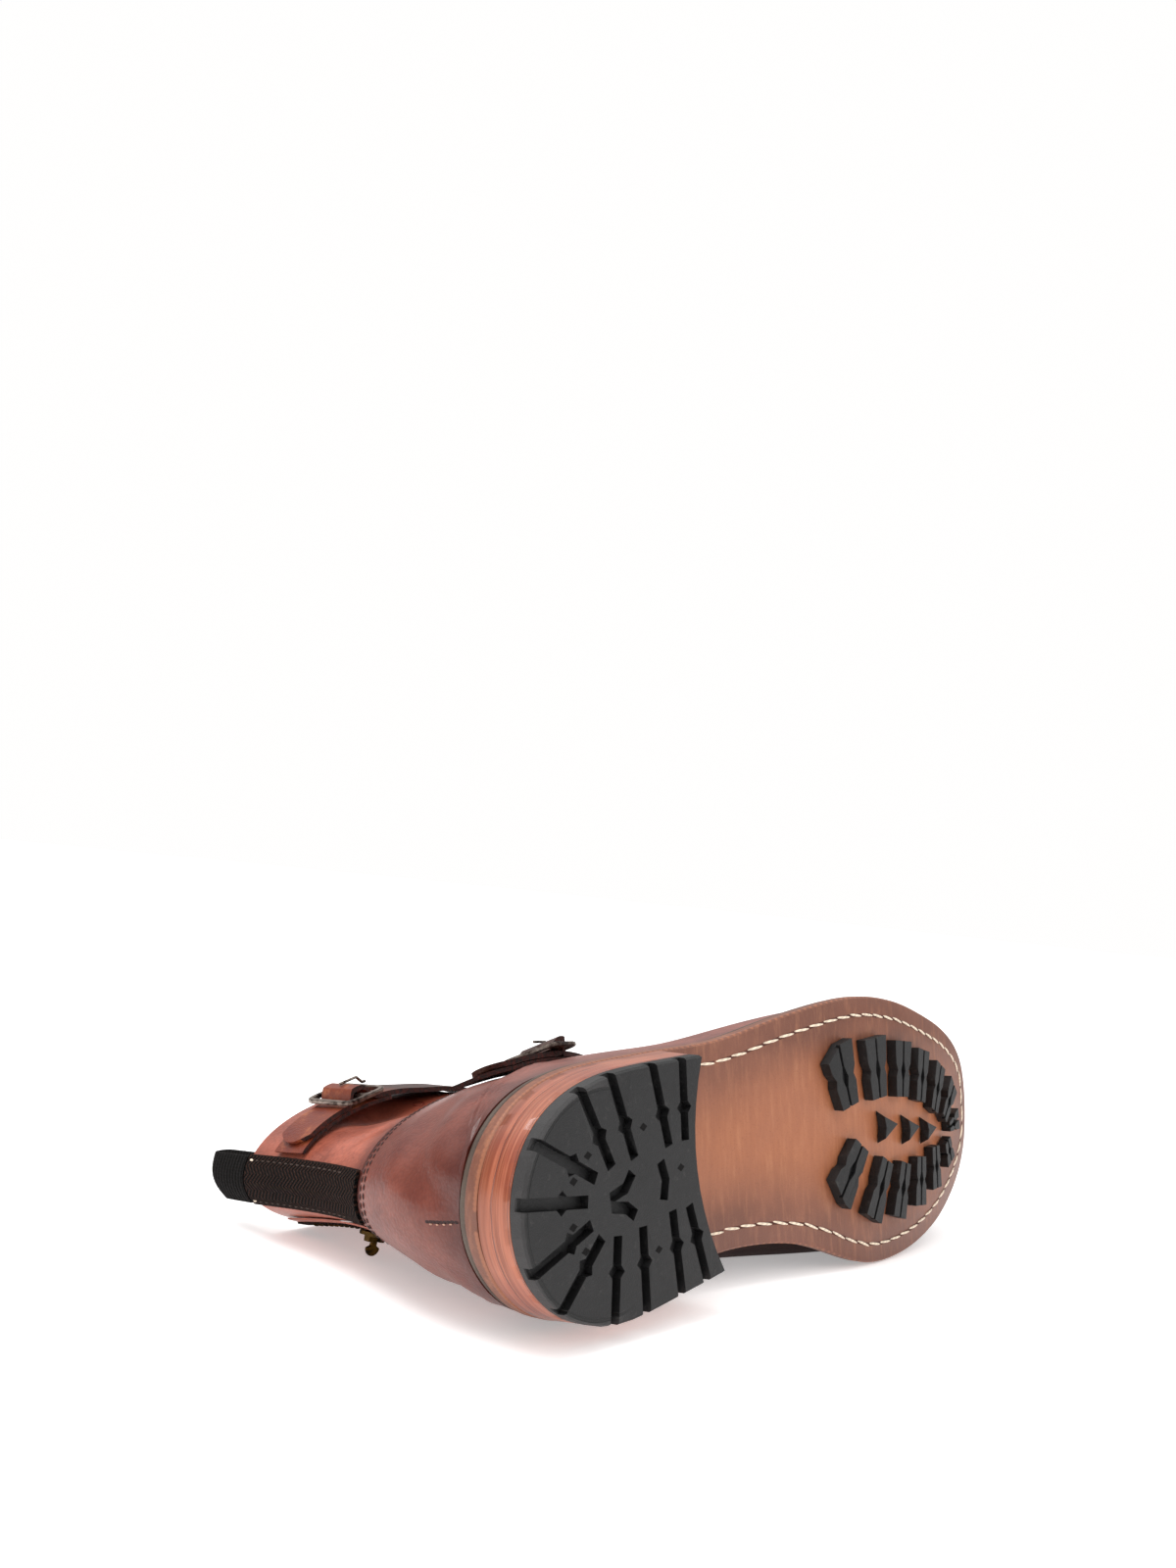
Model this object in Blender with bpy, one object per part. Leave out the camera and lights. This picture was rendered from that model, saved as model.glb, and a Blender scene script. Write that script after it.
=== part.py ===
"""Right biker boot, lying on its inner side.

The boot is drawn standing, in millimetres: x runs from the back of the heel to the toe, y towards
the inner side of the foot, z up from the ground. One empty then lays the whole boot down.
"""
import math
from collections import namedtuple

import bmesh
import bpy
from mathutils import Matrix, Vector
from mathutils.geometry import intersect_ray_tri

MM = 0.001
GAP = 0.3

# Sole and heel
SOLE_LENGTH = 300.0
OUTSOLE = 5.0
MIDSOLE = 2.3
INSOLE = 2.6
HEEL_LIFT = 4.9
HEEL_STACK = 11.6
LUG = 3.9
TOE_SPRING = 12.8
WAIST_START = 92.0
WAIST_END = 195.0
SPRING_START = 205.0
SOLE_EDGE = 0.7
SOLE_STATIONS = 38
BREAST_LATERAL = 84.0
BREAST_MEDIAL = 90.0
BREAST_HOLLOW = 8.5
HEEL_DRAFT = 1.3
HEEL_POINTS = 15
BREAST_POINTS = 10
END_TURN = 0.05

# Upper
FEATHER_HEEL = 1.5
FEATHER_TOE = 297.0
WELT_MARGIN = 5.4
HEEL_MARGIN = 1.8
WELT_START = 90.0
WELT_RUN = 60.0
COLLAR = 142.0
COUNTER = 75.0
WALL = 1.8
COUNTER_STEP = 1.2
FOOT_ROWS = 24
SIDE_POINTS = 13
DENT_DEPTH = 8.0
DENT_HEIGHT = 112.0
DENT_REACH = 15.0
DENT_ROUND = 0.40
DENT_SPREAD = 0.20
LEAN_STEP = 0.01
TIP_TAPER = 0.04

# Straps, buckles, back strip, loop and zip
STRAP = 15.0
STRAP_THICK = 1.8
BASE_THICK = 1.4
BUCKLE_LENGTH = 19.0
BUCKLE_WIDTH = 24.0
BUCKLE_BAR = 2.2
BUCKLE_THICK = 1.8
BUCKLE_CORNER = 4.0
BUCKLE_EDGE = 0.4
BUCKLE_CLEAR = 0.7
HUMP = 5.2
PRONG = 0.6
STRIP_WIDTH = 17.5
STRIP_THICK = 1.2
LOOP_WIDTH = 16.5
LOOP_RISE = 21.0
LOOP_SLANT = 4.5
LOOP_THICK = 1.4
LOOP_TUCK = 8.0
STRAP_TIP = 6.0
ARCH_START = 50.0
ZIP_X = 27.0
ZIP_WIDTH = 13.0
ZIP_FOOT = 81.0
TAPE = 0.6
CHAIN = 1.3
CHAIN_WIDTH = 4.6
SLIDER_FOOT = 94.0
SLIDER_LENGTH = 9.0
SLIDER_WIDTH = 6.8
SLIDER_THICK = 1.4
SLIDER_EDGE = 0.4
EAR_RISE = 1.9
EAR_HALF = 1.4
EAR_SLOT = 3.0
PIVOT = 2.35
TAB_LENGTH = 5.8
TAB_WIDTH = 5.6
TAB_NECK = 2.4
TAB_SHOULDER = 2.2
TAB_THICK = 1.1
TAB_FACETS = 9

# Point of the boot its weight hangs from, and the way it falls
BALANCE = Vector((125.0, 0.0, 33.0))
INNER_SIDE = Vector((0.0, 1.0, 0.0))

Outline = namedtuple("Outline", "x lateral medial")
OUTLINE = [
    Outline(0, 0, 0),
    Outline(6, 20.4, 19.4),
    Outline(20, 32.4, 32.1),
    Outline(40, 38.2, 37.8),
    Outline(80, 39.5, 35.6),
    Outline(115, 39.7, 33.1),
    Outline(150, 45.8, 38.0),
    Outline(185, 49.4, 52.6),
    Outline(215, 45.8, 54.8),
    Outline(245, 37.2, 50.5),
    Outline(270, 28.4, 41.6),
    Outline(288, 18.5, 30.8),
    Outline(297, 9.0, 19.5),
    Outline(300, -4.0, 4.0),
]

# Sections of the last. A foot section stands on the feather line at a distance from the heel; a leg
# section starts on the back seam at a height. Each leans to its top on the front of the boot.
Section = namedtuple("Section", "place top_x top_z ridge lateral medial widest crown flank")
FOOT = [
    Section(297.0, 297.0, 29.0, 4.0, -4.0, 4.0, 0.45, 2.3, 2.2),
    Section(290.0, 290.0, 42.0, 5.0, 12.5, 23.5, 0.42, 2.3, 2.2),
    Section(275.0, 275.0, 50.5, 6.5, 22.8, 35.4, 0.38, 2.3, 2.2),
    Section(250.0, 250.0, 56.0, 6.5, 32.6, 45.6, 0.33, 2.2, 2.2),
    Section(215.0, 215.0, 62.0, 5.0, 41.5, 50.4, 0.28, 2.05, 2.2),
    Section(185.0, 188.0, 70.5, 3.0, 43.8, 49.2, 0.23, 1.9, 2.2),
    Section(150.0, 164.0, 81.5, 0.0, 40.4, 45.0, 0.27, 1.85, 2.2),
    Section(115.0, 149.0, 89.5, 0.0, 36.4, 40.8, 0.29, 1.9, 2.2),
    Section(80.0, 141.0, 95.0, 0.0, 36.4, 36.6, 0.27, 1.9, 2.2),
    Section(40.0, 135.0, 99.3, 0.0, 36.2, 36.4, 0.27, 1.95, 2.2),
    Section(15.0, 132.0, 101.5, 0.0, 34.8, 35.6, 0.31, 2.0, 2.2),
]
LEG = [
    Section(25.0, 130.4, 102.8, 0.0, 33.0, 34.0, 0.36, 2.0, 2.2),
    Section(43.0, 129.4, 103.7, 0.0, 30.2, 31.5, 0.43, 2.05, 2.2),
    Section(59.0, 128.4, 104.6, 0.0, 27.0, 27.0, 0.46, 2.1, 2.2),
    Section(75.0, 127.4, 105.4, 0.0, 24.6, 23.0, 0.50, 2.2, 2.2),
    Section(90.0, 123.0, 112.0, 0.0, 23.4, 20.0, 0.50, 2.2, 2.2),
    Section(106.0, 118.5, 121.0, 0.0, 23.2, 19.6, 0.50, 2.2, 2.15),
    Section(122.0, 115.8, 131.0, 0.0, 23.6, 21.0, 0.50, 2.2, 2.05),
    Section(142.0, 114.0, 146.0, 0.0, 25.0, 23.6, 0.50, 2.2, 1.95),
]
Back = namedtuple("Back", "height x")
BACK = [Back(25, 1.5), Back(45, -0.5), Back(62, 1.0), Back(78, 4.5), Back(92, 6.8), Back(107, 7.6),
        Back(122, 7.2), Back(142, 6.0)]

# Grooves of the heel's top piece and lugs of the forefoot, from their inner to their outer end
Groove = namedtuple("Groove", "inner_x inner_y outer_x outer_y")
HEEL_GROOVES = [
    Groove(32, -8, 3, -25),
    Groove(28, -2, -5, -7),
    Groove(29, 5, 1, 15),
    Groove(33, 9.4, 10, 31),
    Groove(39, -10, 25, -40),
    Groove(49.5, -11, 39, -43),
    Groove(66, -12, 59, -44),
    Groove(74.2, -12.5, 75.2, -44),
    Groove(40, 10.4, 35.5, 42),
    Groove(51.5, 10, 51, 43),
    Groove(66, 8, 69, 42),
    Groove(74.3, 8, 83.3, 40),
]
HEEL_GROOVE_WIDTH = 3.8
HEEL_GROOVE_DEPTH = 3.2
HEEL_GROOVE_DIAMOND = 1.7
HEEL_GROOVE_REACH = 0.06
Zigzag = namedtuple("Zigzag", "x y")
HEEL_ZIGZAGS = [
    [Zigzag(48, -7), Zigzag(44.6, -2.9), Zigzag(38.5, -1.4), Zigzag(39, 1.8), Zigzag(44.6, 3),
     Zigzag(48.5, 6)],
    [Zigzag(61.5, -8), Zigzag(63.4, -2), Zigzag(62, 4)],
]
ZIGZAG_WIDTH = 3.8
GROOVE_MIDDLE = 0.33
LUG_MIDDLE = 0.48
LUG_REACH = 0.12

Lug = namedtuple("Lug", "name inner_x inner_y outer_x outer_y inner_width outer_width side_cut end_cut")
LUGS = [
    Lug("lateral_1", 176.0, -9.0, 170.5, -32.5, 9.6, 16.0, 5.0, 9.0),
    Lug("lateral_2", 195.5, -9.5, 194.5, -33.0, 10.4, 15.4, 0, 0),
    Lug("lateral_3", 213.1, -7.7, 216.2, -29.5, 9.4, 13.6, 0, 0),
    Lug("lateral_4", 229.0, -3.8, 234.6, -24.0, 8.2, 11.0, 0, 0),
    Lug("lateral_5", 242.4, 2.0, 252.3, -15.8, 7.4, 10.4, 0, 0),
    Lug("lateral_6", 253.4, 6.6, 268.0, -5.6, 5.8, 10.6, 0, 0),
    Lug("toe", 259.5, 11.4, 272.5, 9.8, 4.0, 9.0, 0, 0),
    Lug("medial_6", 256.0, 16.6, 259.5, 26.2, 7.0, 9.6, 0, 0),
    Lug("medial_5", 242.0, 16.6, 241.5, 34.0, 7.6, 9.4, 0, 0),
    Lug("medial_4", 227.2, 18.4, 224.4, 37.6, 8.0, 9.6, 0, 0),
    Lug("medial_3", 213.4, 18.4, 206.0, 38.6, 8.0, 9.8, 0, 0),
    Lug("medial_2", 199.0, 15.0, 187.0, 35.4, 8.6, 11.0, 0, 0),
    Lug("medial_1", 181.6, 6.4, 167.0, 24.6, 9.6, 14.4, 4.5, 10.5),
]
LUG_WAIST = -1.3
LUG_SLOT_WIDTH = 1.2
LUG_SLOT_DEPTH = 1.6
LUG_SLOT_DIAMOND = 1.2
Arrow = namedtuple("Arrow", "x y length width")
ARROWS = [Arrow(198.0, 2.2, 10.0, 13.0), Arrow(217.0, 6.0, 9.6, 12.5), Arrow(234.2, 9.0, 9.4, 11.5)]
ARROW_DRAFT = 2.2
ARROW_NOTCH = 1.2

# Straps: their places round the leg in degrees from the front, inner side positive, and the height of
# their middle: a level at the back, a climb along x and an arch towards the instep; lift is what they
# stand off the leg's skin
Strap = namedtuple("Strap", "name anchor buckle tail base_start base_end level climb arch lift")
STRAPS = [
    Strap("collar", 62.0, -113.0, -150.0, -156.0, -99.0, 120.5, 0.085, 0.0, 0.35),
    Strap("ankle", 62.0, -61.0, -89.0, -96.0, -49.0, 73.0, 0.0, 0.0031, 1.95),
]


def smooth(knots, values, at):
    """Value at a place on a smooth curve through the knots."""
    at = min(max(at, knots[0]), knots[-1])
    i = max(j for j in range(len(knots) - 1) if knots[j] <= at)

    def slope(j):
        lo, hi = max(j - 1, 0), min(j + 1, len(knots) - 1)
        return (values[hi] - values[lo]) / (knots[hi] - knots[lo])

    span = knots[i + 1] - knots[i]
    t = (at - knots[i]) / span
    ease = t * t * (3 - 2 * t)
    start, end = span * slope(i), span * slope(i + 1)
    return values[i] + (values[i + 1] - values[i]) * ease + start * t * (1 - t) ** 2 - end * t * t * (1 - t)


def ramp(t):
    """Smooth step from 0 to 1."""
    t = min(max(t, 0.0), 1.0)
    return t * t * (3 - 2 * t)


def along(x, start, end):
    """Angle of a place on a half circle drawn from start to end."""
    return math.acos(min(max(1 - 2 * (x - start) / (end - start), -1.0), 1.0))


def spread(start, end, count):
    """Evenly spaced numbers."""
    return [start + (end - start) * i / (count - 1) for i in range(count)]


OUTLINE_TURNS = [along(row.x, 0, SOLE_LENGTH) for row in OUTLINE]


def half_width(x, side):
    """Half width of the sole at x, on the inner side (1) or the outer side (-1)."""
    widths = [row.medial if side > 0 else row.lateral for row in OUTLINE]
    return smooth(OUTLINE_TURNS, widths, along(x, 0, SOLE_LENGTH))


def underside(x):
    """Height of the outsole's underside: heel seat, waist, tread and toe spring."""
    heel = HEEL_LIFT + HEEL_STACK + 2 * GAP
    waist = ramp((x - WAIST_START) / (WAIST_END - WAIST_START))
    spring = max(0.0, (x - SPRING_START) / (SOLE_LENGTH - SPRING_START))
    return heel + (LUG + GAP - heel) * waist + TOE_SPRING * spring ** 2


def feather(x):
    """Height of the line where the upper meets the sole."""
    return underside(x) + OUTSOLE + MIDSOLE + 2 * GAP


# Scene, collections and materials
for old in list(bpy.data.objects):
    bpy.data.objects.remove(old)
parts = bpy.data.collections.new("biker_boot")
cutters = bpy.data.collections.new("cutters")
bpy.context.scene.collection.children.link(parts)
bpy.context.scene.collection.children.link(cutters)
laid = bpy.data.objects.new("boot_laid_down", None)
parts.objects.link(laid)


def finish(name, colour, roughness, metallic=0.0):
    """A plain material."""
    material = bpy.data.materials.new(name)
    material.use_nodes = True
    shader = material.node_tree.nodes["Principled BSDF"]
    shader.inputs["Base Color"].default_value = (*colour, 1.0)
    shader.inputs["Roughness"].default_value = roughness
    shader.inputs["Metallic"].default_value = metallic
    return material


UPPER_LEATHER = finish("burnished_leather", (0.25, 0.10, 0.07), 0.35)
SOLE_LEATHER = finish("sole_leather", (0.36, 0.16, 0.08), 0.5)
STACK_LEATHER = finish("stacked_leather", (0.45, 0.18, 0.09), 0.4)
STRAP_LEATHER = finish("strap_leather", (0.38, 0.13, 0.06), 0.4)
RUBBER = finish("black_rubber", (0.03, 0.03, 0.035), 0.6)
RAND = finish("grey_rand", (0.13, 0.11, 0.09), 0.6)
CANVAS = finish("black_canvas", (0.02, 0.014, 0.012), 0.9)
BOARD = finish("insole_board", (0.5, 0.36, 0.22), 0.8)
PEWTER = finish("antique_pewter", (0.42, 0.38, 0.35), 0.35, 1.0)
BRASS = finish("antique_brass", (0.16, 0.12, 0.07), 0.4, 1.0)


def add(name, points, faces, material, collection=parts):
    """An object from points in millimetres, with its faces turned outwards."""
    mesh = bpy.data.meshes.new(name)
    mesh.from_pydata([Vector(p) * MM for p in points], [], faces)
    bm = bmesh.new()
    bm.from_mesh(mesh)
    bmesh.ops.remove_doubles(bm, verts=bm.verts, dist=1e-6)
    bmesh.ops.dissolve_degenerate(bm, edges=bm.edges, dist=1e-7)
    bmesh.ops.recalc_face_normals(bm, faces=bm.faces)
    bm.to_mesh(mesh)
    bm.free()
    mesh.materials.append(material)
    obj = bpy.data.objects.new(name, mesh)
    obj.parent = laid
    collection.objects.link(obj)
    if collection is cutters:
        obj.hide_render = True
        obj.display_type = "WIRE"
    return obj


def loft_faces(first, rings):
    """Faces of a closed loft through rings of equal length, numbered from first."""
    size = len(rings[0])
    faces = [tuple(first + j for j in range(size))]
    for i in range(len(rings) - 1):
        low, high = first + i * size, first + (i + 1) * size
        for j in range(size):
            k = (j + 1) % size
            faces.append((low + j, low + k, high + k, high + j))
    faces.append(tuple(first + (len(rings) - 1) * size + j for j in range(size)))
    return faces


def loft(name, rings, material, collection=parts):
    """A closed solid through rings of points."""
    return add(name, [p for ring in rings for p in ring], loft_faces(0, rings), material, collection)


def cut(obj, cutter):
    """Cut one object away from another."""
    modifier = obj.modifiers.new("cut", "BOOLEAN")
    modifier.operation = "DIFFERENCE"
    modifier.object = cutter


def shade(obj, degrees=35):
    """Smooth shading, sharp at the edges."""
    obj.data.shade_smooth()
    obj.data.set_sharp_from_angle(angle=math.radians(degrees))


# Outsole, midsole and insole: layers that follow the underside
def sole_layer(name, low, high, margin, edge, material):
    """A layer between two heights above the underside, drawn in from the sole's outline."""
    rings = []
    for turn in spread(END_TURN, math.pi - END_TURN, SOLE_STATIONS + 1):
        x = SOLE_LENGTH * (1 - math.cos(turn)) / 2
        inset = margin * math.sin(turn)
        lateral, medial = -half_width(x, -1) + inset, half_width(x, 1) - inset
        place = margin + (SOLE_LENGTH - 2 * margin) * (1 - math.cos(turn)) / 2
        bottom, top = underside(place) + low, underside(place) + high
        rings.append([
            (place, lateral + edge, bottom), (place, medial - edge, bottom),
            (place, medial, bottom + edge), (place, medial, top - edge),
            (place, medial - edge, top), (place, lateral + edge, top),
            (place, lateral, top - edge), (place, lateral, bottom + edge),
        ])
    shade(loft(name, rings, material))


sole_layer("outsole", 0, OUTSOLE, 0, SOLE_EDGE, SOLE_LEATHER)
sole_layer("midsole", OUTSOLE + GAP, OUTSOLE + GAP + MIDSOLE, 0.5, SOLE_EDGE, RAND)
sole_layer("insole", OUTSOLE + MIDSOLE + 2 * GAP, OUTSOLE + MIDSOLE + INSOLE, 8.8, SOLE_EDGE, BOARD)


# Heel: stacked leather block and grooved rubber top piece
def heel_ring(margin, z):
    """Outline of the heel at height z: round the back, then along the hollowed breast."""
    ring = []
    for side, corner in ((-1, BREAST_LATERAL), (1, BREAST_MEDIAL)):
        last = along(corner, 0, SOLE_LENGTH)
        flank = []
        for turn in spread(END_TURN, last, HEEL_POINTS + 1):
            x = SOLE_LENGTH * (1 - math.cos(turn)) / 2
            y = half_width(x, side) - margin * math.sin(turn)
            flank.append((x + margin * math.cos(turn), side * y, z))
        ring += flank[::-1] if side < 0 else flank
    start, end = Vector(ring[-1]), Vector(ring[0])
    for i in range(1, BREAST_POINTS):
        t = i / BREAST_POINTS
        point = start.lerp(end, t)
        point.x -= BREAST_HOLLOW * (1 - (2 * t - 1) ** 2)
        ring.append(tuple(point))
    return ring


def bar(inner, outer, inner_width, outer_width, bulge, middle, reach):
    """Outline of a bar between two points, with a diamond (or a waist) at its middle."""
    inner, outer = Vector(inner), Vector(outer)
    run = outer - inner
    across = Vector((-run.y, run.x)).normalized()
    stops = ((0.0, 0.0), (middle - reach, 0.0), (middle, bulge), (middle + reach, 0.0),
             (1.0, 0.0))
    near, far = [], []
    for place, extra in stops:
        half = (inner_width + (outer_width - inner_width) * place) / 2 + extra
        near.append(inner + run * place - across * half)
        far.append(inner + run * place + across * half)
    return near + far[::-1]


def clipped(outline, side_cut, end_cut):
    """Outline of a bar without the corner of its outer end that is nearest to the heel."""
    size = len(outline) // 2
    first, second = outline[size - 1], outline[size]
    if first.x < second.x:
        cuts = [first + (outline[size - 2] - first).normalized() * side_cut,
                first + (second - first).normalized() * end_cut]
        return outline[:size - 1] + cuts + outline[size:]
    cuts = [second + (first - second).normalized() * end_cut,
            second + (outline[size + 1] - second).normalized() * side_cut]
    return outline[:size] + cuts + outline[size + 1:]


def ribbon(points, width):
    """Outline of a bent band along points."""
    near, far = [], []
    for i, point in enumerate(points):
        before, after = points[max(i - 1, 0)], points[min(i + 1, len(points) - 1)]
        run = Vector((after.x - before.x, after.y - before.y)).normalized()
        across = Vector((-run.y, run.x)) * width / 2
        near.append(Vector((point.x, point.y)) - across)
        far.append(Vector((point.x, point.y)) + across)
    return near + far[::-1]


def prism_rings(outline, low, high):
    """Two rings of an upright prism between two heights, which may change along x."""
    return [[(p.x, p.y, low(p.x)) for p in outline], [(p.x, p.y, high(p.x)) for p in outline]]


def prisms(name, outlines, low, high, material, collection):
    """Several prisms in one object."""
    points, faces = [], []
    for outline in outlines:
        rings = prism_rings(outline, low, high)
        faces += loft_faces(len(points), rings)
        points += [p for ring in rings for p in ring]
    return add(name, points, faces, material, collection)


stack_foot = HEEL_LIFT + GAP
heel_stack = loft("heel_stack", [heel_ring(HEEL_DRAFT, stack_foot), heel_ring(0.2, stack_foot + HEEL_STACK)],
                  STACK_LEATHER)
heel_lift = loft("heel_lift", [heel_ring(HEEL_DRAFT + 1.0, 0), heel_ring(HEEL_DRAFT + 0.2, 0.9),
                               heel_ring(HEEL_DRAFT, HEEL_LIFT)], RUBBER)
groove_outlines = [bar((g.inner_x, g.inner_y), (g.outer_x, g.outer_y), HEEL_GROOVE_WIDTH, HEEL_GROOVE_WIDTH,
                       HEEL_GROOVE_DIAMOND, GROOVE_MIDDLE, HEEL_GROOVE_REACH) for g in HEEL_GROOVES]
groove_outlines += [ribbon(zigzag, ZIGZAG_WIDTH) for zigzag in HEEL_ZIGZAGS]
cut(heel_lift, prisms("heel_groove_cutter", groove_outlines, lambda x: -1.0, lambda x: HEEL_GROOVE_DEPTH,
                      RUBBER, cutters))
shade(heel_stack)
shade(heel_lift)


# Forefoot tread: rubber lugs in a U, each with a waist and a slot, and arrow heads between the rows
def root(x):
    """Height of a lug's root, on the outsole."""
    return underside(x) - GAP


def ground(x):
    """Height of a lug's worn face."""
    return root(x) - LUG


for lug in LUGS:
    inner, outer = (lug.inner_x, lug.inner_y), (lug.outer_x, lug.outer_y)
    body = bar(inner, outer, lug.inner_width, lug.outer_width, LUG_WAIST, LUG_MIDDLE, LUG_REACH)
    if lug.side_cut:
        body = clipped(body, lug.side_cut, lug.end_cut)
    tread = loft("lug_" + lug.name, prism_rings(body, ground, root), RUBBER)
    run = Vector(outer) - Vector(inner)
    slot = bar(Vector(inner) - run * 0.2, Vector(outer) + run * 0.2, LUG_SLOT_WIDTH, LUG_SLOT_WIDTH,
               LUG_SLOT_DIAMOND, LUG_MIDDLE, LUG_REACH)
    cutter = prisms("slot_" + lug.name, [slot], lambda x: ground(x) - 1.0,
                    lambda x: ground(x) + LUG_SLOT_DEPTH, RUBBER, cutters)
    cut(tread, cutter)
for i, arrow in enumerate(ARROWS):
    rings = []
    for draft, level in ((ARROW_DRAFT, ground), (0.0, root)):
        half = arrow.width / 2 - draft
        head = [(arrow.x, arrow.y - half), (arrow.x + arrow.length, arrow.y), (arrow.x, arrow.y + half),
                (arrow.x + ARROW_NOTCH, arrow.y)]
        rings.append([(x, y, level(x)) for x, y in head])
    loft("lug_arrow_%d" % (i + 1), rings, RUBBER)


# Upper: one shell through the sections of the last, with a step where the foot covers the leg
HEEL_SEAT = feather(0)
KNOTS = [1 - along(row.place, FEATHER_HEEL, FEATHER_TOE) / math.pi for row in FOOT]
KNOTS += [1 + (row.place - HEEL_SEAT) / (COLLAR - HEEL_SEAT) for row in LEG]
COLUMNS = list(zip(*(FOOT + LEG)))
Cut = namedtuple("Cut", "base top ridge width limit widest crown flank")


def section(s):
    """Row of the last's table at s: 0 at the toe, 1 at the heel seat, 2 at the collar."""
    return Section(*(smooth(KNOTS, column, s) for column in COLUMNS))


def base_of(s):
    """Lowest point of a section: on the feather line, then up the back seam."""
    if s < 1:
        x = FEATHER_HEEL + (FEATHER_TOE - FEATHER_HEEL) * (1 - math.cos(math.pi * (1 - s))) / 2
        return Vector((x, 0, feather(x)))
    z = HEEL_SEAT + (COLLAR - HEEL_SEAT) * (s - 1)
    return Vector((smooth([b.height for b in BACK], [b.x for b in BACK], z), 0, z))


def feather_half(s, side):
    """Half width of the feather line at a foot section."""
    turn = math.pi * (1 - s)
    x = SOLE_LENGTH * (1 - math.cos(turn)) / 2
    margin = HEEL_MARGIN + (WELT_MARGIN - HEEL_MARGIN) * ramp((x - WELT_START) / WELT_RUN)
    return half_width(x, side) - margin * math.sin(turn)


def section_cut(s, side, swell=0.0):
    """Half a section, swollen outwards (or inwards) by swell."""
    row = section(s)
    base = base_of(s)
    before, after = section(max(s - LEAN_STEP, 0)), section(min(s + LEAN_STEP, 2))
    rise = Vector((after.top_x - before.top_x, 0, after.top_z - before.top_z)).normalized()
    top = Vector((row.top_x, 0, row.top_z)) + Vector((rise.z, 0, -rise.x)) * swell
    lean = math.cos(math.pi * (1 - s)) ** 3 if s < 1 else 1.0
    base.x -= swell * lean
    taper = min(1.0, s / TIP_TAPER)
    width = (row.medial if side > 0 else row.lateral) - side * row.ridge + swell * taper
    edge = 0.0
    if s < 1:
        edge = feather_half(s, side) - side * row.ridge + swell * math.sqrt(1 - lean * lean)
    share = min(max(edge / width, 0.0), 0.999) if width > 0 else 0.0
    limit = math.acos(share ** (row.flank / 2))
    return Cut(base, top, row.ridge, max(width, 1e-6), limit, row.widest, row.crown, row.flank)


def on_cut(half, side, turn, dent=0.0):
    """Point of a half section: turn is a quarter circle at the top, 0 at the widest place."""
    if turn >= 0:
        across = half.width * math.cos(turn) ** (2 / half.crown)
        share = half.widest + (1 - half.widest) * math.sin(turn) ** (2 / half.crown)
    else:
        low = min(-turn, half.limit)
        across = half.width * math.cos(low) ** (2 / half.flank)
        share = half.widest * (1 - (math.sin(low) / math.sin(half.limit)) ** (2 / half.flank))
    point = half.base.lerp(half.top, share)
    if dent and side < 0:
        away = ((share - DENT_ROUND) / DENT_SPREAD) ** 2 + ((point.z - DENT_HEIGHT) / DENT_REACH) ** 2
        across -= dent * math.exp(-away) * across / half.width
    point.y = half.ridge + side * across
    return point


def skin_row(s, swell):
    """Points of one section from its inner end over the top to its outer end."""
    row = []
    for side, order in ((1, range(SIDE_POINTS + 1)), (-1, range(SIDE_POINTS - 1, -1, -1))):
        half = section_cut(s, side, swell)
        for j in order:
            turn = -half.limit + (math.pi / 2 - 0.0001 + half.limit) * j / SIDE_POINTS
            row.append(on_cut(half, side, turn, DENT_DEPTH))
    return row


def leg_place(z):
    """Section number of a height on the back seam."""
    return 1 + (z - HEEL_SEAT) / (COLLAR - HEEL_SEAT)


def build_upper():
    """The upper's outer and inner skins, joined at the feather line and the collar."""
    covered = [i / FOOT_ROWS for i in range(FOOT_ROWS + 1)]
    covered += [leg_place(z) for z in (33, 43, 54, 65, COUNTER)]
    bare = [leg_place(z) for z in (COUNTER + 0.8, 85, 95, 105, 114, 123, 133, COLLAR)]
    places = [(s, COUNTER_STEP) for s in covered] + [(s, 0.0) for s in bare]
    outer = [skin_row(s, swell) for s, swell in places]
    inner = [skin_row(s, -WALL) for s, swell in places]
    size = len(outer[0])
    points = [p for row in outer + inner for p in row]
    shift = len(outer) * size
    faces = []
    for i in range(len(outer) - 1):
        low, high = i * size, (i + 1) * size
        for j in range(size - 1):
            faces.append((low + j, low + j + 1, high + j + 1, high + j))
            faces.append(tuple(shift + k for k in (low + j + 1, low + j, high + j, high + j + 1)))
        if places[i][0] < 1:
            for j in (0, size - 1):
                faces.append((low + j, high + j, shift + high + j, shift + low + j))
    last = (len(outer) - 1) * size
    for j in range(size - 1):
        faces.append((last + j, last + j + 1, shift + last + j + 1, shift + last + j))
    shade(add("upper", points, faces, UPPER_LEATHER))


build_upper()


# Back strip and pull loop
def back_point(s, y, swell):
    """Point of the leg's skin beside the back seam, y from the seam."""
    side = 1 if y >= 0 else -1
    half = section_cut(s, side, swell)
    turn = math.acos(min(abs(y) / half.width, 1.0) ** (half.flank / 2))
    return on_cut(half, side, -turn)


strip_rings = []
for z in spread(COUNTER + 1.6, COLLAR - 1.0, 9):
    ys = spread(-STRIP_WIDTH / 2, STRIP_WIDTH / 2, 7)
    strip_rings.append([back_point(leg_place(z), y, GAP) for y in ys]
                       + [back_point(leg_place(z), y, GAP + STRIP_THICK) for y in reversed(ys)])
shade(loft("back_strip", strip_rings, CANVAS))

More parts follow.
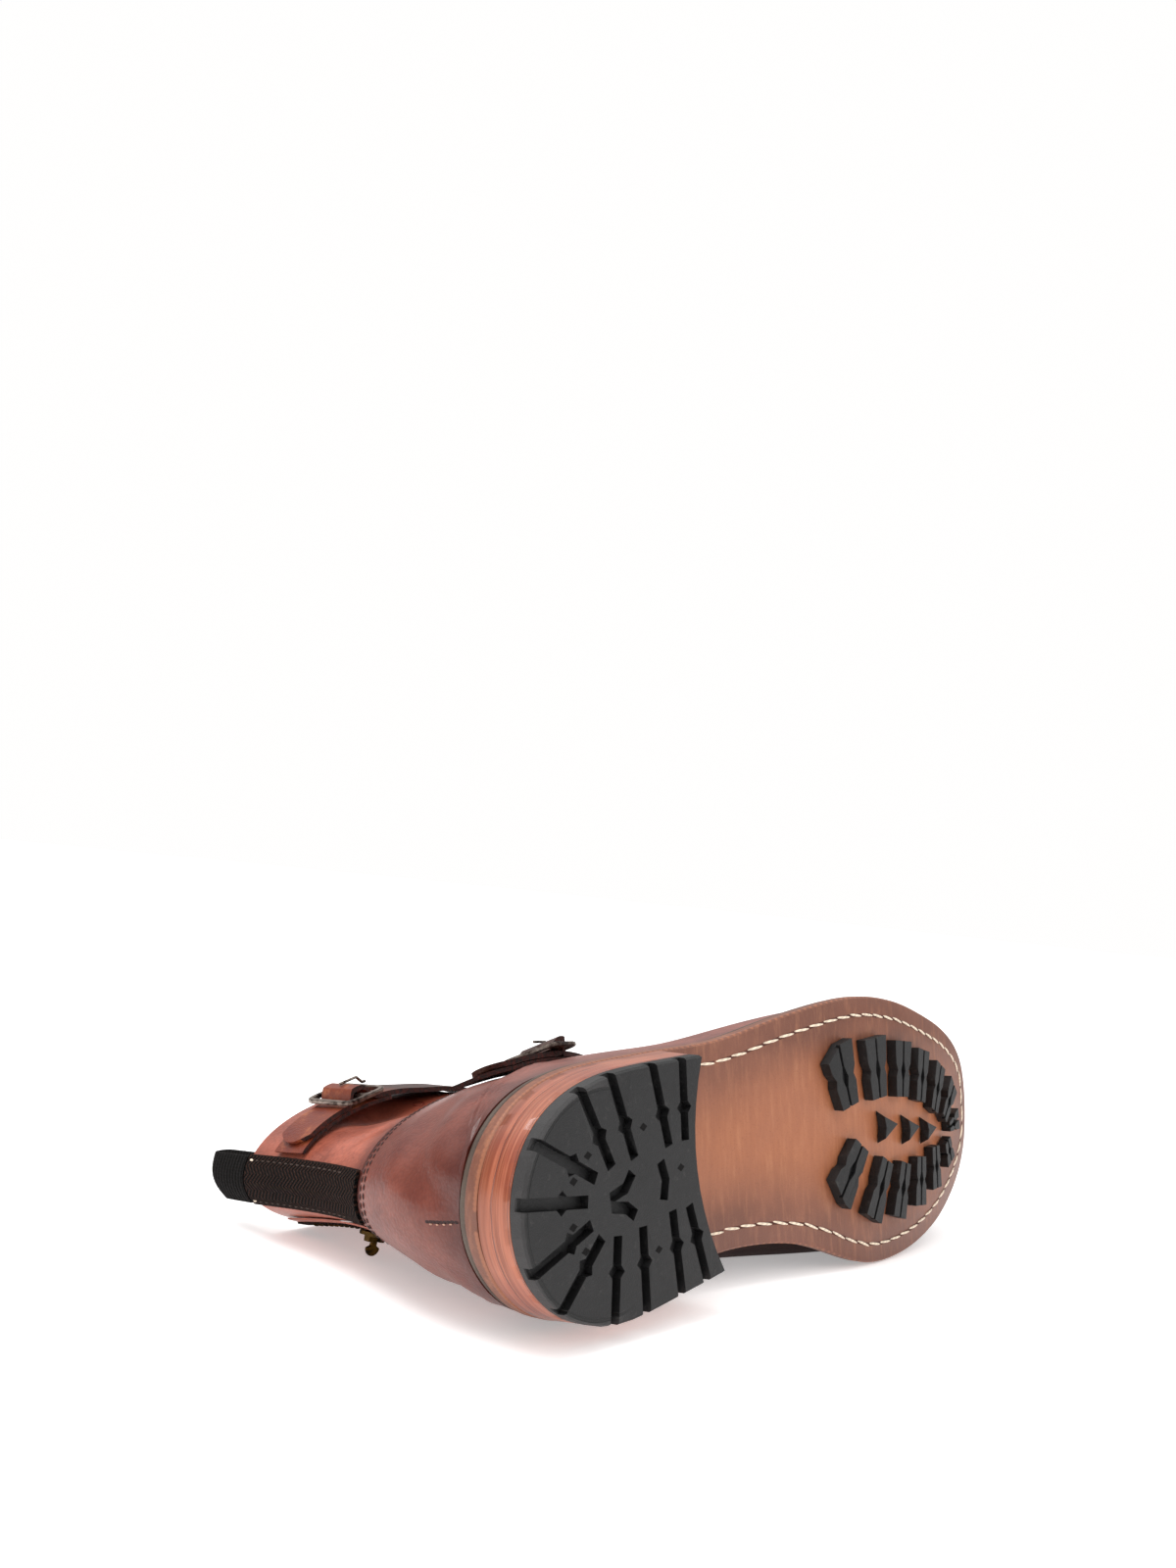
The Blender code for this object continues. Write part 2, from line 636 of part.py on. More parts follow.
loop_rings = []
for y in spread(-LOOP_WIDTH / 2, LOOP_WIDTH / 2, 5):
    crown = COLLAR + LOOP_RISE - LOOP_SLANT * y / LOOP_WIDTH
    seam = back_point(2.0, y, 0.0)
    outer_in, outer_out = (back_point(2.0, y, d).x for d in (GAP, GAP + LOOP_THICK))
    inner_out, inner_in = (back_point(2.0, y, -WALL - d).x for d in (2 * GAP, 2 * GAP + LOOP_THICK))
    tucked = back_point(leg_place(COLLAR - LOOP_TUCK), y, -WALL - 2 * GAP).x
    profile = [(outer_in, COLLAR - GAP), (outer_out, COLLAR - GAP)]
    for start, end, drop, turns in ((outer_out, inner_in, 0.0, spread(180, 0, 7)),
                                    (outer_in, inner_out, LOOP_THICK, spread(0, 180, 5))):
        middle, radius = (start + end) / 2, (end - start) / 2
        arc = [(middle + radius * math.cos(math.radians(t)),
                crown - drop - radius + radius * math.sin(math.radians(t))) for t in turns]
        profile += arc
        if not drop:
            profile += [(tucked + LOOP_THICK, COLLAR - LOOP_TUCK), (tucked, COLLAR - LOOP_TUCK)]
    loop_rings.append([(x, seam.y, z) for x, z in profile])
shade(loft("pull_loop", loop_rings, CANVAS))


# Straps and buckles
def around(q, height, swell):
    """Point of the leg's skin q degrees round from the front, at a height given along x."""
    side = 1 if q >= 0 else -1
    turn = math.radians(min(90 - abs(q), 89.99))
    low, high = 0.55, 2.0
    for _ in range(34):
        s = (low + high) / 2
        point = on_cut(section_cut(s, side, swell), side, turn)
        if point.z < height(point.x):
            low = s
        else:
            high = s
    return point


def beside(q, height, swell, rise):
    """Point of a strap's edge, beside its middle line at q and square to it."""
    ahead, behind = around(q + 0.5, height, swell), around(q - 0.5, height, swell)
    middle, run = (ahead + behind) / 2, ahead - behind
    climb = rise * run.length / math.hypot(run.x, run.y)
    for _ in range(3):
        point = around(q, lambda x: height(x) + climb, swell)
        q -= (point - middle).dot(run) / run.dot(run)
    return point


def band(name, stops, height, inside, thickness, width, material):
    """A flat strap round the leg; inside gives its lift off the skin at each stop, width its breadth."""
    rings = []
    for q in stops:
        half = width(q) / 2
        low, high = inside(q), inside(q) + thickness
        rings.append([beside(q, height, swell, rise) for swell, rise in
                      ((low, -half), (low, half), (high, half), (high, -half))])
    return loft(name, rings, material)


def rounded_box(length, width, radius, steps=3):
    """Points of a rectangle with round corners."""
    points = []
    for cx, cy, start in ((1, 1, 0), (-1, 1, 90), (-1, -1, 180), (1, -1, 270)):
        for i in range(steps + 1):
            turn = math.radians(start + 90 * i / steps)
            points.append((cx * (length / 2 - radius) + radius * math.cos(turn),
                           cy * (width / 2 - radius) + radius * math.sin(turn)))
    return points


def buckle_frame(name, frame):
    """A flat frame with a middle bar, its two windows cut out."""
    curve = bpy.data.curves.new(name, "CURVE")
    curve.dimensions = "2D"
    curve.fill_mode = "BOTH"
    curve.extrude = (BUCKLE_THICK / 2 - BUCKLE_EDGE) * MM
    curve.bevel_depth = BUCKLE_EDGE * MM
    curve.bevel_resolution = 0
    curve.offset = -BUCKLE_EDGE * MM
    window = (BUCKLE_LENGTH - 3 * BUCKLE_BAR) / 2
    shift = (window + BUCKLE_BAR) / 2
    outlines = [rounded_box(BUCKLE_LENGTH, BUCKLE_WIDTH, BUCKLE_CORNER)]
    for way in (-1, 1):
        hole = rounded_box(window, BUCKLE_WIDTH - 2 * BUCKLE_BAR, 1.0, 1)
        outlines.append([(x + way * shift, y) for x, y in hole])
    for outline in outlines:
        spline = curve.splines.new("POLY")
        spline.points.add(len(outline) - 1)
        spline.use_cyclic_u = True
        for point, (x, y) in zip(spline.points, outline):
            point.co = (x * MM, y * MM, 0, 1)
    curve.materials.append(PEWTER)
    obj = bpy.data.objects.new(name, curve)
    obj.parent = laid
    obj.matrix_local = frame
    parts.objects.link(obj)


def rod(name, points, radius, frame, material):
    """A round bar through points in its own frame."""
    curve = bpy.data.curves.new(name, "CURVE")
    curve.dimensions = "3D"
    curve.bevel_depth = radius * MM
    curve.bevel_resolution = 1
    curve.use_fill_caps = True
    spline = curve.splines.new("POLY")
    spline.points.add(len(points) - 1)
    for point, place in zip(spline.points, points):
        point.co = (*(Vector(place) * MM), 1)
    curve.materials.append(material)
    obj = bpy.data.objects.new(name, curve)
    obj.parent = laid
    obj.matrix_local = frame
    parts.objects.link(obj)


def frame_at(origin, along_x, along_y):
    """Placing matrix, in metres, with its x and y along two directions."""
    x = along_x.normalized()
    z = x.cross(along_y).normalized()
    y = z.cross(x)
    matrix = Matrix((x, y, z)).transposed().to_4x4()
    matrix.translation = origin * MM
    return matrix


def fastened_strap(strap):
    """A strap, the short base strap that holds its buckle, the buckle and its prong."""
    def height(x):
        return strap.level + strap.climb * x + strap.arch * max(x - ARCH_START, 0.0) ** 2

    def tangent(lift):
        return around(strap.buckle + 1, height, lift) - around(strap.buckle - 1, height, lift)

    def doubled(q):
        return ramp((strap.base_end + 14 - q) / 12)

    def hump(q):
        away = abs(q - strap.buckle) * speed
        return ramp((window_end - away) / (window_end - window_start))

    def inside(q):
        return strap.lift + (BASE_THICK + GAP) * doubled(q) + HUMP * hump(q)

    def tail_width(q):
        return STRAP * min(1.0, math.sqrt(max(0.06, (q - strap.tail) * speed / STRAP_TIP)))

    level = strap.lift + BASE_THICK + GAP + STRAP_THICK + BUCKLE_CLEAR + BUCKLE_THICK / 2
    speed = tangent(level).length / 2
    window_start = BUCKLE_BAR / 2 + 0.6
    window_end = BUCKLE_LENGTH / 2 - BUCKLE_BAR - 0.2
    reach = BUCKLE_LENGTH / 2 / speed
    stops = spread(strap.anchor, strap.buckle + reach, 18)[:-1]
    stops += spread(strap.buckle + reach, strap.buckle - reach, 17)
    stops += spread(strap.buckle - reach, strap.tail + STRAP_TIP / speed, 12)[1:]
    stops += [strap.tail + d / speed for d in (4.0, 2.2, 0.9, 0.0)]
    shade(band(strap.name + "_strap", stops, height, inside, STRAP_THICK, tail_width, STRAP_LEATHER))
    base_stops = spread(strap.base_start, strap.base_end, 20)
    shade(band(strap.name + "_strap_base", base_stops, height, lambda q: strap.lift, BASE_THICK,
               lambda q: STRAP, STRAP_LEATHER))
    middle = around(strap.buckle, height, level)
    rise = beside(strap.buckle, height, level, STRAP / 2) - beside(strap.buckle, height, level, -STRAP / 2)
    frame = frame_at(middle, tangent(level), rise)
    buckle_frame(strap.name + "_buckle", frame)
    rest = BUCKLE_THICK / 2 + GAP + PRONG
    over = HUMP - BUCKLE_CLEAR - BUCKLE_THICK / 2 + GAP + PRONG
    far = BUCKLE_LENGTH / 2
    rod(strap.name + "_prong", [(-2.0, 0, over), (window_end - 1, 0, over), (far - BUCKLE_BAR / 2, 0, rest),
                                (far + 0.5, 0, rest)], PRONG, frame, PEWTER)


for strap in STRAPS:
    fastened_strap(strap)


# The face of the boot's hull it lies on
def floor_normal():
    """Way to the floor: the hull's face under the balance point, on the inner side."""
    bpy.context.view_layer.update()
    depsgraph = bpy.context.evaluated_depsgraph_get()
    hull = bmesh.new()
    for obj in parts.objects:
        if obj is not laid:
            shape = obj.evaluated_get(depsgraph)
            for vertex in shape.to_mesh().vertices:
                hull.verts.new(obj.matrix_world @ vertex.co)
            shape.to_mesh_clear()
    bmesh.ops.convex_hull(hull, input=hull.verts)
    for face in hull.faces:
        a, b, c = (vertex.co for vertex in face.verts)
        if intersect_ray_tri(a, b, c, INNER_SIDE, BALANCE * MM, True):
            normal = face.normal.copy()
    hull.free()
    return normal if normal.y > 0 else -normal


to_floor = floor_normal()


# Inside zip: tape with its chain, slider with two ears, and pull tab between the ears
def flank_point(s, x, swell):
    """Point of the leg's inner side at x on a section."""
    half = section_cut(s, 1, swell)
    low, high = -half.limit, math.pi / 2
    for _ in range(30):
        turn = (low + high) / 2
        point = on_cut(half, 1, turn)
        if point.x < x:
            low = turn
        else:
            high = turn
    return point


def placed(obj, frame):
    """Put an object at a frame of the standing boot."""
    obj.matrix_local = frame
    return obj


zip_profile = [(-ZIP_WIDTH, 0), (-CHAIN_WIDTH, 0), (CHAIN_WIDTH, 0), (ZIP_WIDTH, 0), (ZIP_WIDTH, TAPE),
               (CHAIN_WIDTH, TAPE), (CHAIN_WIDTH, CHAIN), (-CHAIN_WIDTH, CHAIN), (-CHAIN_WIDTH, TAPE),
               (-ZIP_WIDTH, TAPE)]
zip_rings = []
for z in spread(ZIP_FOOT, COLLAR - 3.0, 9):
    zip_rings.append([flank_point(leg_place(z), ZIP_X + x / 2, GAP + lift) for x, lift in zip_profile])
shade(loft("zip_tape", zip_rings, CANVAS))

slider_place = leg_place(SLIDER_FOOT)
slider_seat = 2 * GAP + CHAIN + 0.1
up_zip = flank_point(slider_place + LEAN_STEP, ZIP_X, slider_seat)
up_zip -= flank_point(slider_place - LEAN_STEP, ZIP_X, slider_seat)
over_zip = flank_point(slider_place, ZIP_X + 1, slider_seat)
over_zip -= flank_point(slider_place, ZIP_X - 1, slider_seat)
slider_frame = frame_at(flank_point(slider_place, ZIP_X, slider_seat), up_zip, over_zip)
half, ear_top = SLIDER_LENGTH / 2, SLIDER_THICK + EAR_RISE
slider_side = [(half, 0), (half, SLIDER_THICK - SLIDER_EDGE), (half - SLIDER_EDGE, SLIDER_THICK),
               (EAR_HALF + SLIDER_EDGE / 2, SLIDER_THICK), (EAR_HALF, ear_top)]
slider_side += [(-x, z) for x, z in reversed(slider_side)]
slider = loft("zip_slider", [[(x, way * SLIDER_WIDTH / 2, z) for x, z in slider_side] for way in (-1, 1)],
              BRASS)
slot = [Vector((x, y)) for x, y in rounded_box(SLIDER_LENGTH - 2, EAR_SLOT, 0.1, 1)]
slot_cutter = prisms("slider_slot_cutter", [slot], lambda x: SLIDER_THICK, lambda x: ear_top + 1,
                     BRASS, cutters)
placed(slot_cutter, slider_frame)
cut(placed(slider, slider_frame), slot_cutter)

tab_round = TAB_WIDTH / 2
tab_outline = [(-TAB_THICK / 2, -TAB_NECK / 2), (TAB_SHOULDER, -TAB_NECK / 2)]
tab_outline += [(TAB_LENGTH - tab_round + tab_round * math.cos(turn), tab_round * math.sin(turn))
                for turn in spread(-math.pi / 2, math.pi / 2, TAB_FACETS)]
tab_outline += [(TAB_SHOULDER, TAB_NECK / 2), (-TAB_THICK / 2, TAB_NECK / 2)]
pivot = slider_frame @ Vector((0, 0, PIVOT * MM))
hinge = slider_frame.to_3x3().col[1]
hang = to_floor - hinge * to_floor.dot(hinge)
tab = loft("zip_pull_tab", [[(x, y, way * TAB_THICK / 2) for x, y in tab_outline] for way in (-1, 1)],
           BRASS)
placed(tab, frame_at(pivot / MM, hang, hinge))

# Laid on the floor, toe along x, the middle of its underside at the origin
turned = to_floor.rotation_difference(Vector((0, 0, -1))).to_matrix()
toe = turned @ Vector((1, 0, 0))
turned = Matrix.Rotation(-math.atan2(toe.y, toe.x), 3, "Z") @ turned
laid.matrix_world = turned.to_4x4()
bpy.context.view_layer.update()
depsgraph = bpy.context.evaluated_depsgraph_get()
spots = []
for obj in parts.objects:
    if obj is not laid:
        shape = obj.evaluated_get(depsgraph)
        spots += [shape.matrix_world @ vertex.co for vertex in shape.to_mesh().vertices]
        shape.to_mesh_clear()
middle = [(min(p[i] for p in spots) + max(p[i] for p in spots)) / 2 for i in range(2)]
lowest = min(p.z for p in spots)
laid.matrix_world = Matrix.Translation((-middle[0], -middle[1], -lowest)) @ laid.matrix_world
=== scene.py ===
import math

import bpy
from mathutils import Matrix, Vector
from mathutils.kdtree import KDTree


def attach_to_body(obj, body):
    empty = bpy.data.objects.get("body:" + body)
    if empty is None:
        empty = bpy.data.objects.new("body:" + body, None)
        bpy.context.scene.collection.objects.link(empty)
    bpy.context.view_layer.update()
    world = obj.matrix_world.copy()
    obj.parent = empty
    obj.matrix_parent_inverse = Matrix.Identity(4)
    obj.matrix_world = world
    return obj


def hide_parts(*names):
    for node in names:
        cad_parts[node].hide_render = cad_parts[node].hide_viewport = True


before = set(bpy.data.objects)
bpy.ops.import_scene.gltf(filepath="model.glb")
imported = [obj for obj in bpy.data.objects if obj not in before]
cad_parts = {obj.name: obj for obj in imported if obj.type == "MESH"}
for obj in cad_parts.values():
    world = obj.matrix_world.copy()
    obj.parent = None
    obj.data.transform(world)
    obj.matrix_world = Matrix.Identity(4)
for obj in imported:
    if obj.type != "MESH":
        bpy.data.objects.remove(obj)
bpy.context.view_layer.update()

# Leather outsole: one thick sole cut to the outline of the boot, its underside dyed and burnished darker
# towards the edge, the edge bevelled and waxed, with a lighter line of painted highlight along the bevel. The
# heel, the tread and the sole stitch sit on it.
TOE_WAY = Vector((0.99667, 0.0, 0.0816))
INNER_WAY = Vector((0.08077, -0.14148, -0.98664))
LEG_WAY = Vector((0.01154, 0.98994, -0.141))
HEEL_POINT = Vector((-0.14928, -0.07955, 0.03899))
STANDING = Matrix((TOE_WAY, INNER_WAY, LEG_WAY)).transposed().to_4x4()
STANDING.translation = HEEL_POINT
LYING = STANDING.inverted()
SOLE_CENTRE = (168, 108, 78)
SOLE_BURNISH = (108, 73, 63)
SOLE_BEVEL_HIGHLIGHT = (170, 112, 84)
SOLE_BEVEL_DEPTH = 0.7
SHEEN = 0.03
MERGE_GAP = 0.000005


def spot(x, y, z):
    """A place on the boot: millimetres from the heel to the toe, to the inner side and up the leg."""
    return STANDING @ Vector((x / 1000, y / 1000, z / 1000))


def paint(colour):
    """A colour seen on the boot, less the white sheen that lies over it, as the shader takes it."""
    linear = [((c / 255 + 0.055) / 1.055) ** 2.4 for c in colour]
    return (*(max(c - SHEEN, c / 5) for c in linear), 1.0)


def alone(obj):
    """Select one object and nothing else."""
    bpy.ops.object.select_all(action="DESELECT")
    obj.select_set(True)
    bpy.context.view_layer.objects.active = obj


def cut_out(node, name):
    """A workable copy of a solid: merged, with its four-sided faces back."""
    obj = bpy.data.objects.new(name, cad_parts[node].data.copy())
    bpy.context.scene.collection.objects.link(obj)
    obj.data.materials.clear()
    alone(obj)
    bpy.ops.object.mode_set(mode="EDIT")
    bpy.ops.mesh.select_all(action="SELECT")
    bpy.ops.mesh.remove_doubles(threshold=MERGE_GAP)
    bpy.ops.mesh.tris_convert_to_quads(face_threshold=math.radians(50), shape_threshold=math.radians(80))
    bpy.ops.object.mode_set(mode="OBJECT")
    return obj


def rounded(obj, sharp, levels):
    """Smooth an object between its sharp edges."""
    alone(obj)
    bpy.ops.object.mode_set(mode="EDIT")
    bpy.ops.mesh.select_mode(type="EDGE")
    bpy.ops.mesh.select_all(action="DESELECT")
    bpy.ops.mesh.edges_select_sharp(sharpness=math.radians(sharp))
    bpy.ops.transform.edge_crease(value=1.0)
    bpy.ops.object.mode_set(mode="OBJECT")
    surface = obj.modifiers.new("rounding", "SUBSURF")
    surface.levels = levels
    surface.render_levels = levels
    bpy.ops.object.modifier_apply(modifier="rounding")
    bpy.ops.object.shade_smooth_by_angle(angle=math.radians(35))


class Look:
    """A socket of a finish; sums, differences and products of looks add their Math nodes."""

    def __init__(self, tree, socket=None):
        self.tree = tree
        self.socket = socket

    def node(self, kind, settings, inputs, out=0):
        """Any node: its settings first, then the values or links of its sockets."""
        made = self.tree.nodes.new(kind)
        for name, value in settings.items():
            setattr(made, name, value)
        for key, value in inputs.items():
            if isinstance(value, Look):
                self.tree.links.new(value.socket, made.inputs[key])
            else:
                made.inputs[key].default_value = value
        return Look(self.tree, made.outputs[out])

    def maths(self, operation, a, b=0.0):
        """A Math node on two values."""
        return self.node("ShaderNodeMath", {"operation": operation}, {0: a, 1: b})

    def __add__(self, other):
        return self.maths("ADD", self, other)

    def __radd__(self, other):
        return self.maths("ADD", other, self)

    def __sub__(self, other):
        return self.maths("SUBTRACT", self, other)

    def __rsub__(self, other):
        return self.maths("SUBTRACT", other, self)

    def __mul__(self, other):
        return self.maths("MULTIPLY", self, other)

    def __rmul__(self, other):
        return self.maths("MULTIPLY", other, self)

    def step(self, start, end):
        """Smooth step of a value from 0 at start to 1 at end."""
        return self.node("ShaderNodeMapRange", {"interpolation_type": "SMOOTHSTEP"},
                         {0: self, 1: start, 2: end, 3: 0.0, 4: 1.0})


def finish(name):
    """A new finish: its material, a look to start from, and the boot's own coordinates."""
    material = bpy.data.materials.new(name)
    material.use_nodes = True
    look = Look(material.node_tree)
    place = look.node("ShaderNodeTexCoord", {}, {}, 3)
    place = look.node("ShaderNodeMapping", {"vector_type": "TEXTURE"},
                      {"Vector": place, "Location": HEEL_POINT, "Rotation": STANDING.to_euler()})
    return material, look, place


def stretched(look, place, scale):
    """Coordinates stretched along the boot's three ways."""
    return look.node("ShaderNodeVectorMath", {"operation": "MULTIPLY"}, {0: place, 1: scale})


def along(look, place, way):
    """One of the boot's own coordinates, in metres: 0 to the toe, 1 to the inner side, 2 up."""
    return look.node("ShaderNodeSeparateXYZ", {}, {0: place}, way)


def noise(look, place, scale, detail=3.0, rough=0.55):
    """Cloudy variation with a number of clouds to the metre."""
    return look.node("ShaderNodeTexNoise", {},
                     {"Vector": place, "Scale": scale, "Detail": detail, "Roughness": rough})


def mixed(look, share, first, second):
    """Two colours blended by a share."""
    return look.node("ShaderNodeMix", {"data_type": "RGBA"}, {0: share, 6: first, 7: second}, 2)


def coat(material, look, **sockets):
    """Give the finish's shader its values and links; a height becomes a bump."""
    shader = material.node_tree.nodes["Principled BSDF"]
    height = sockets.pop("height", None)
    if height is not None:
        depth, relief = height
        sockets["Normal"] = look.node("ShaderNodeBump", {},
                                      {"Strength": 1.0, "Distance": depth, "Height": relief})
    for name, value in sockets.items():
        socket = shader.inputs[name.replace("_", " ")]
        if isinstance(value, Look):
            look.tree.links.new(value.socket, socket)
        else:
            socket.default_value = value
    return material


def attach(obj, slot, *nodes):
    """Fix a finished piece to the boot in the place of its solids."""
    if nodes:
        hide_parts(*nodes)
    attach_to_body(obj, "boot")


def measure(obj, name, rim):
    """Write on each point of an object how far it is from a rim of points, in metres."""
    tree = KDTree(len(rim))
    for i, point in enumerate(rim):
        tree.insert(point, i)
    tree.balance()
    layer = obj.data.attributes.new(name, "FLOAT", "POINT")
    for vertex in obj.data.vertices:
        layer.data[vertex.index].value = tree.find(vertex.co)[2]


def rim_of(obj):
    """Outline of a sole layer: x, outer y, inner y and lowest z of each station, in boot millimetres."""
    stations = {}
    for vertex in obj.data.vertices:
        p = LYING @ vertex.co * 1000
        stations.setdefault(round(p.x, 1), []).append(p)
    return [(x, min(p.y for p in ps), max(p.y for p in ps), min(p.z for p in ps))
            for x, ps in sorted(stations.items()) if len(ps) > 3]


outsole = cut_out("outsole", "outsole_leather")
sole_rim = rim_of(outsole)
rounded(outsole, 20, 3)
edge_points = []
for here, after in zip(sole_rim, sole_rim[1:]):
    for t in (0.0, 0.25, 0.5, 0.75):
        x, outer, inner, z = (a + (b - a) * t for a, b in zip(here, after))
        edge_points.append(spot(x, outer, z + SOLE_BEVEL_DEPTH))
        edge_points.append(spot(x, inner, z + SOLE_BEVEL_DEPTH))
measure(outsole, "from_edge", edge_points)
leather, look, place = finish("sole_leather")
inwards = look.node("ShaderNodeAttribute", {"attribute_name": "from_edge"}, {}, 2)
cloud = noise(look, place, 22.0, 4.0, 0.6)
streak = noise(look, stretched(look, place, (420.0, 60.0, 420.0)), 1.0, 5.0, 0.7)
speck = noise(look, place, 1400.0, 2.0, 0.7)
burnish = 1 - (inwards + (cloud - 0.5) * 0.024).step(0.006, 0.034)
tone = mixed(look, burnish * 0.92, paint(SOLE_CENTRE), paint(SOLE_BURNISH))
tone = mixed(look, cloud.step(0.35, 0.70) * 0.35, tone, paint((150, 100, 82)))
tone = mixed(look, streak.step(0.46, 0.74) * 0.22, tone, paint((206, 146, 110)))
tone = mixed(look, streak.step(0.52, 0.28) * 0.16, tone, paint((120, 78, 62)))
tone = mixed(look, speck.step(0.56, 0.70) * 0.22, tone, paint((96, 62, 48)))
# lighter line along the bevelled edge of the sole: painted highlight
tone = mixed(look, inwards.step(0.0012, 0.0004) * 0.6, tone, paint(SOLE_BEVEL_HIGHLIGHT))
coat(leather, look, Base_Color=tone, Roughness=0.40 + streak * 0.16,
     height=(0.00018, speck * 0.5 + streak * 0.6))
outsole.data.materials.append(leather)
attach(outsole, "sole_leather", "outsole")

# Sole stitch: a waxed cream thread in a channel, a constant way in from the edge, from one corner of the
# heel round the toe to the other. The shade in the channel is painted as a thin dark strip under the
# stitches.
STITCH_INSET = 7.2
STITCH_PITCH = 8.0
STITCH_LENGTH = 8.4
STITCH_THICK = 1.0
STITCH_HEIGHT = 0.8
STITCH_RISE = 0.15
STITCH_SLANT = 0.10
STITCH_OUTER_START = 66
STITCH_INNER_START = 70
STITCH_TOE_END = 292.5
THREAD_END = 0.35
THREAD_DIP = 0.22
SHORTEST_RUN = 0.4
CHANNEL_WIDTH = 1.2
CHANNEL_PITCH = 2.4
CHANNEL_THICK = 0.1
THREAD_CREAM = (255, 236, 212)


def resampled(points, pitch):
    """Points at an even pitch along a line, each with the way the line runs."""
    placed, carried = [], pitch / 2
    for a, b in zip(points, points[1:]):
        run = b - a
        while carried < run.length:
            placed.append((a + run * (carried / run.length), run.normalized()))
            carried += pitch
        carried -= run.length
    return placed


def thread_finish(name, colour, twist):
    """Twisted thread."""
    material, look, place = finish(name)
    strand = look.node("ShaderNodeTexWave", {"bands_direction": "DIAGONAL"},
                       {"Vector": place, "Scale": twist, "Distortion": 1.5, "Detail": 1.0})
    tone = mixed(look, strand * 0.45, paint(colour), paint([c * 0.65 for c in colour]))
    return coat(material, look, Base_Color=tone, Roughness=0.7, height=(0.00015, strand))


def copied(first, name, places, material):
    """One small piece copied to each place (point, run, out) and joined; the first one is used up."""
    copies = []
    for point, run, out in places:
        side = out.cross(run).normalized()
        seat = Matrix((run.normalized(), side, run.cross(side).normalized())).transposed().to_4x4()
        seat.translation = point
        copy = first.copy()
        copy.data = first.data.copy()
        copy.data.transform(seat)
        bpy.context.scene.collection.objects.link(copy)
        copies.append(copy)
    bpy.data.objects.remove(first)
    bpy.ops.object.select_all(action="DESELECT")
    for copy in copies:
        copy.select_set(True)
    bpy.context.view_layer.objects.active = copies[0]
    bpy.ops.object.join()
    row = bpy.context.object
    row.name = name
    row.data.materials.append(material)
    return row


def brought_to_size(obj, size):
    """Scale a piece of unit size to a size in millimetres and apply it."""
    alone(obj)
    bpy.ops.transform.resize(value=[side / 1000 for side in size])
    bpy.ops.object.transform_apply(location=True, rotation=True, scale=True)


def sew(name, places, size, material):
    """A row of stitches: one rounded length of thread, its two ends pulled down into their holes."""
    bpy.ops.object.select_all(action="DESELECT")
    bpy.ops.mesh.primitive_uv_sphere_add(segments=8, ring_count=5, radius=0.5)
    thread = bpy.context.object
    bpy.ops.transform.rotate(value=math.pi / 2, orient_axis="Y", center_override=(0, 0, 0))
    bpy.ops.object.transform_apply(location=True, rotation=True, scale=True)
    bpy.context.tool_settings.mesh_select_mode = (True, False, False)
    bpy.ops.object.mode_set(mode="EDIT")
    bpy.ops.mesh.select_all(action="DESELECT")
    bpy.ops.object.mode_set(mode="OBJECT")
    for vertex in thread.data.vertices:
        vertex.select = abs(vertex.co.x) > THREAD_END
    bpy.ops.object.mode_set(mode="EDIT")
    bpy.ops.transform.translate(value=(0, 0, -THREAD_DIP))
    bpy.ops.object.mode_set(mode="OBJECT")
    brought_to_size(thread, size)
    thread.data.shade_smooth()
    return copied(thread, name, places, material)


def under_sole(x):
    """Height of the outsole's underside at x."""
    for (x0, _, _, z0), (x1, _, _, z1) in zip(sole_rim, sole_rim[1:]):
        if x0 <= x <= x1:
            return z0 + (z1 - z0) * (x - x0) / (x1 - x0)
    return sole_rim[-1][3]


def on_sole(point, run, slant, rise):
    """A place on the underside, a little out of it, for something that runs along it at a slant."""
    slope = (under_sole(point.x + 1) - under_sole(point.x - 1)) / 2
    way = Vector((run.x - run.y * slant, run.y + run.x * slant, run.x * slope))
    place = spot(point.x, point.y, under_sole(point.x) - rise)
    return place, (STANDING.to_3x3() @ way).normalized(), -LEG_WAY


outer_side = [Vector((x, outer, 0)) for x, outer, _, _ in sole_rim if x > STITCH_OUTER_START]
inner_side = [Vector((x, inner, 0)) for x, _, inner, _ in sole_rim if x > STITCH_INNER_START]
sole_line = outer_side + inner_side[::-1]
seam_line = []
for before, here, after in zip(sole_line, sole_line[1:], sole_line[2:]):
    run = (after - before).normalized()
    if (after - here).length > SHORTEST_RUN:
        seam_line.append(here + Vector((-run.y, run.x, 0)) * STITCH_INSET)
seam_line = [p for p in seam_line if p.x < STITCH_TOE_END]
stitches = [on_sole(*place, STITCH_SLANT, STITCH_RISE) for place in resampled(seam_line, STITCH_PITCH)]
cream_thread = thread_finish("cream_thread", THREAD_CREAM, 260.0)
sole_stitch = sew("sole_stitch", stitches, (STITCH_LENGTH, STITCH_THICK, STITCH_HEIGHT), cream_thread)
attach(sole_stitch, "sole_leather")

# painted shadow: a thin dark strip under the sole stitch stands for the shade in its channel
groove, look, place = finish("channel_shadow")
shade_mottle = noise(look, place, 600.0)
coat(groove, look, Base_Color=mixed(look, shade_mottle, paint((104, 66, 52)), paint((72, 46, 38))), Roughness=0.75)
cuts = [on_sole(*place, 0.0, 0.0) for place in resampled(seam_line, CHANNEL_PITCH)]
bpy.ops.object.select_all(action="DESELECT")
bpy.ops.mesh.primitive_cube_add(size=1.0)
cut = bpy.context.object
brought_to_size(cut, (CHANNEL_PITCH, CHANNEL_WIDTH, CHANNEL_THICK))
channel = copied(cut, "stitch_channel_shadow", cuts, groove)
attach(channel, "sole_leather")

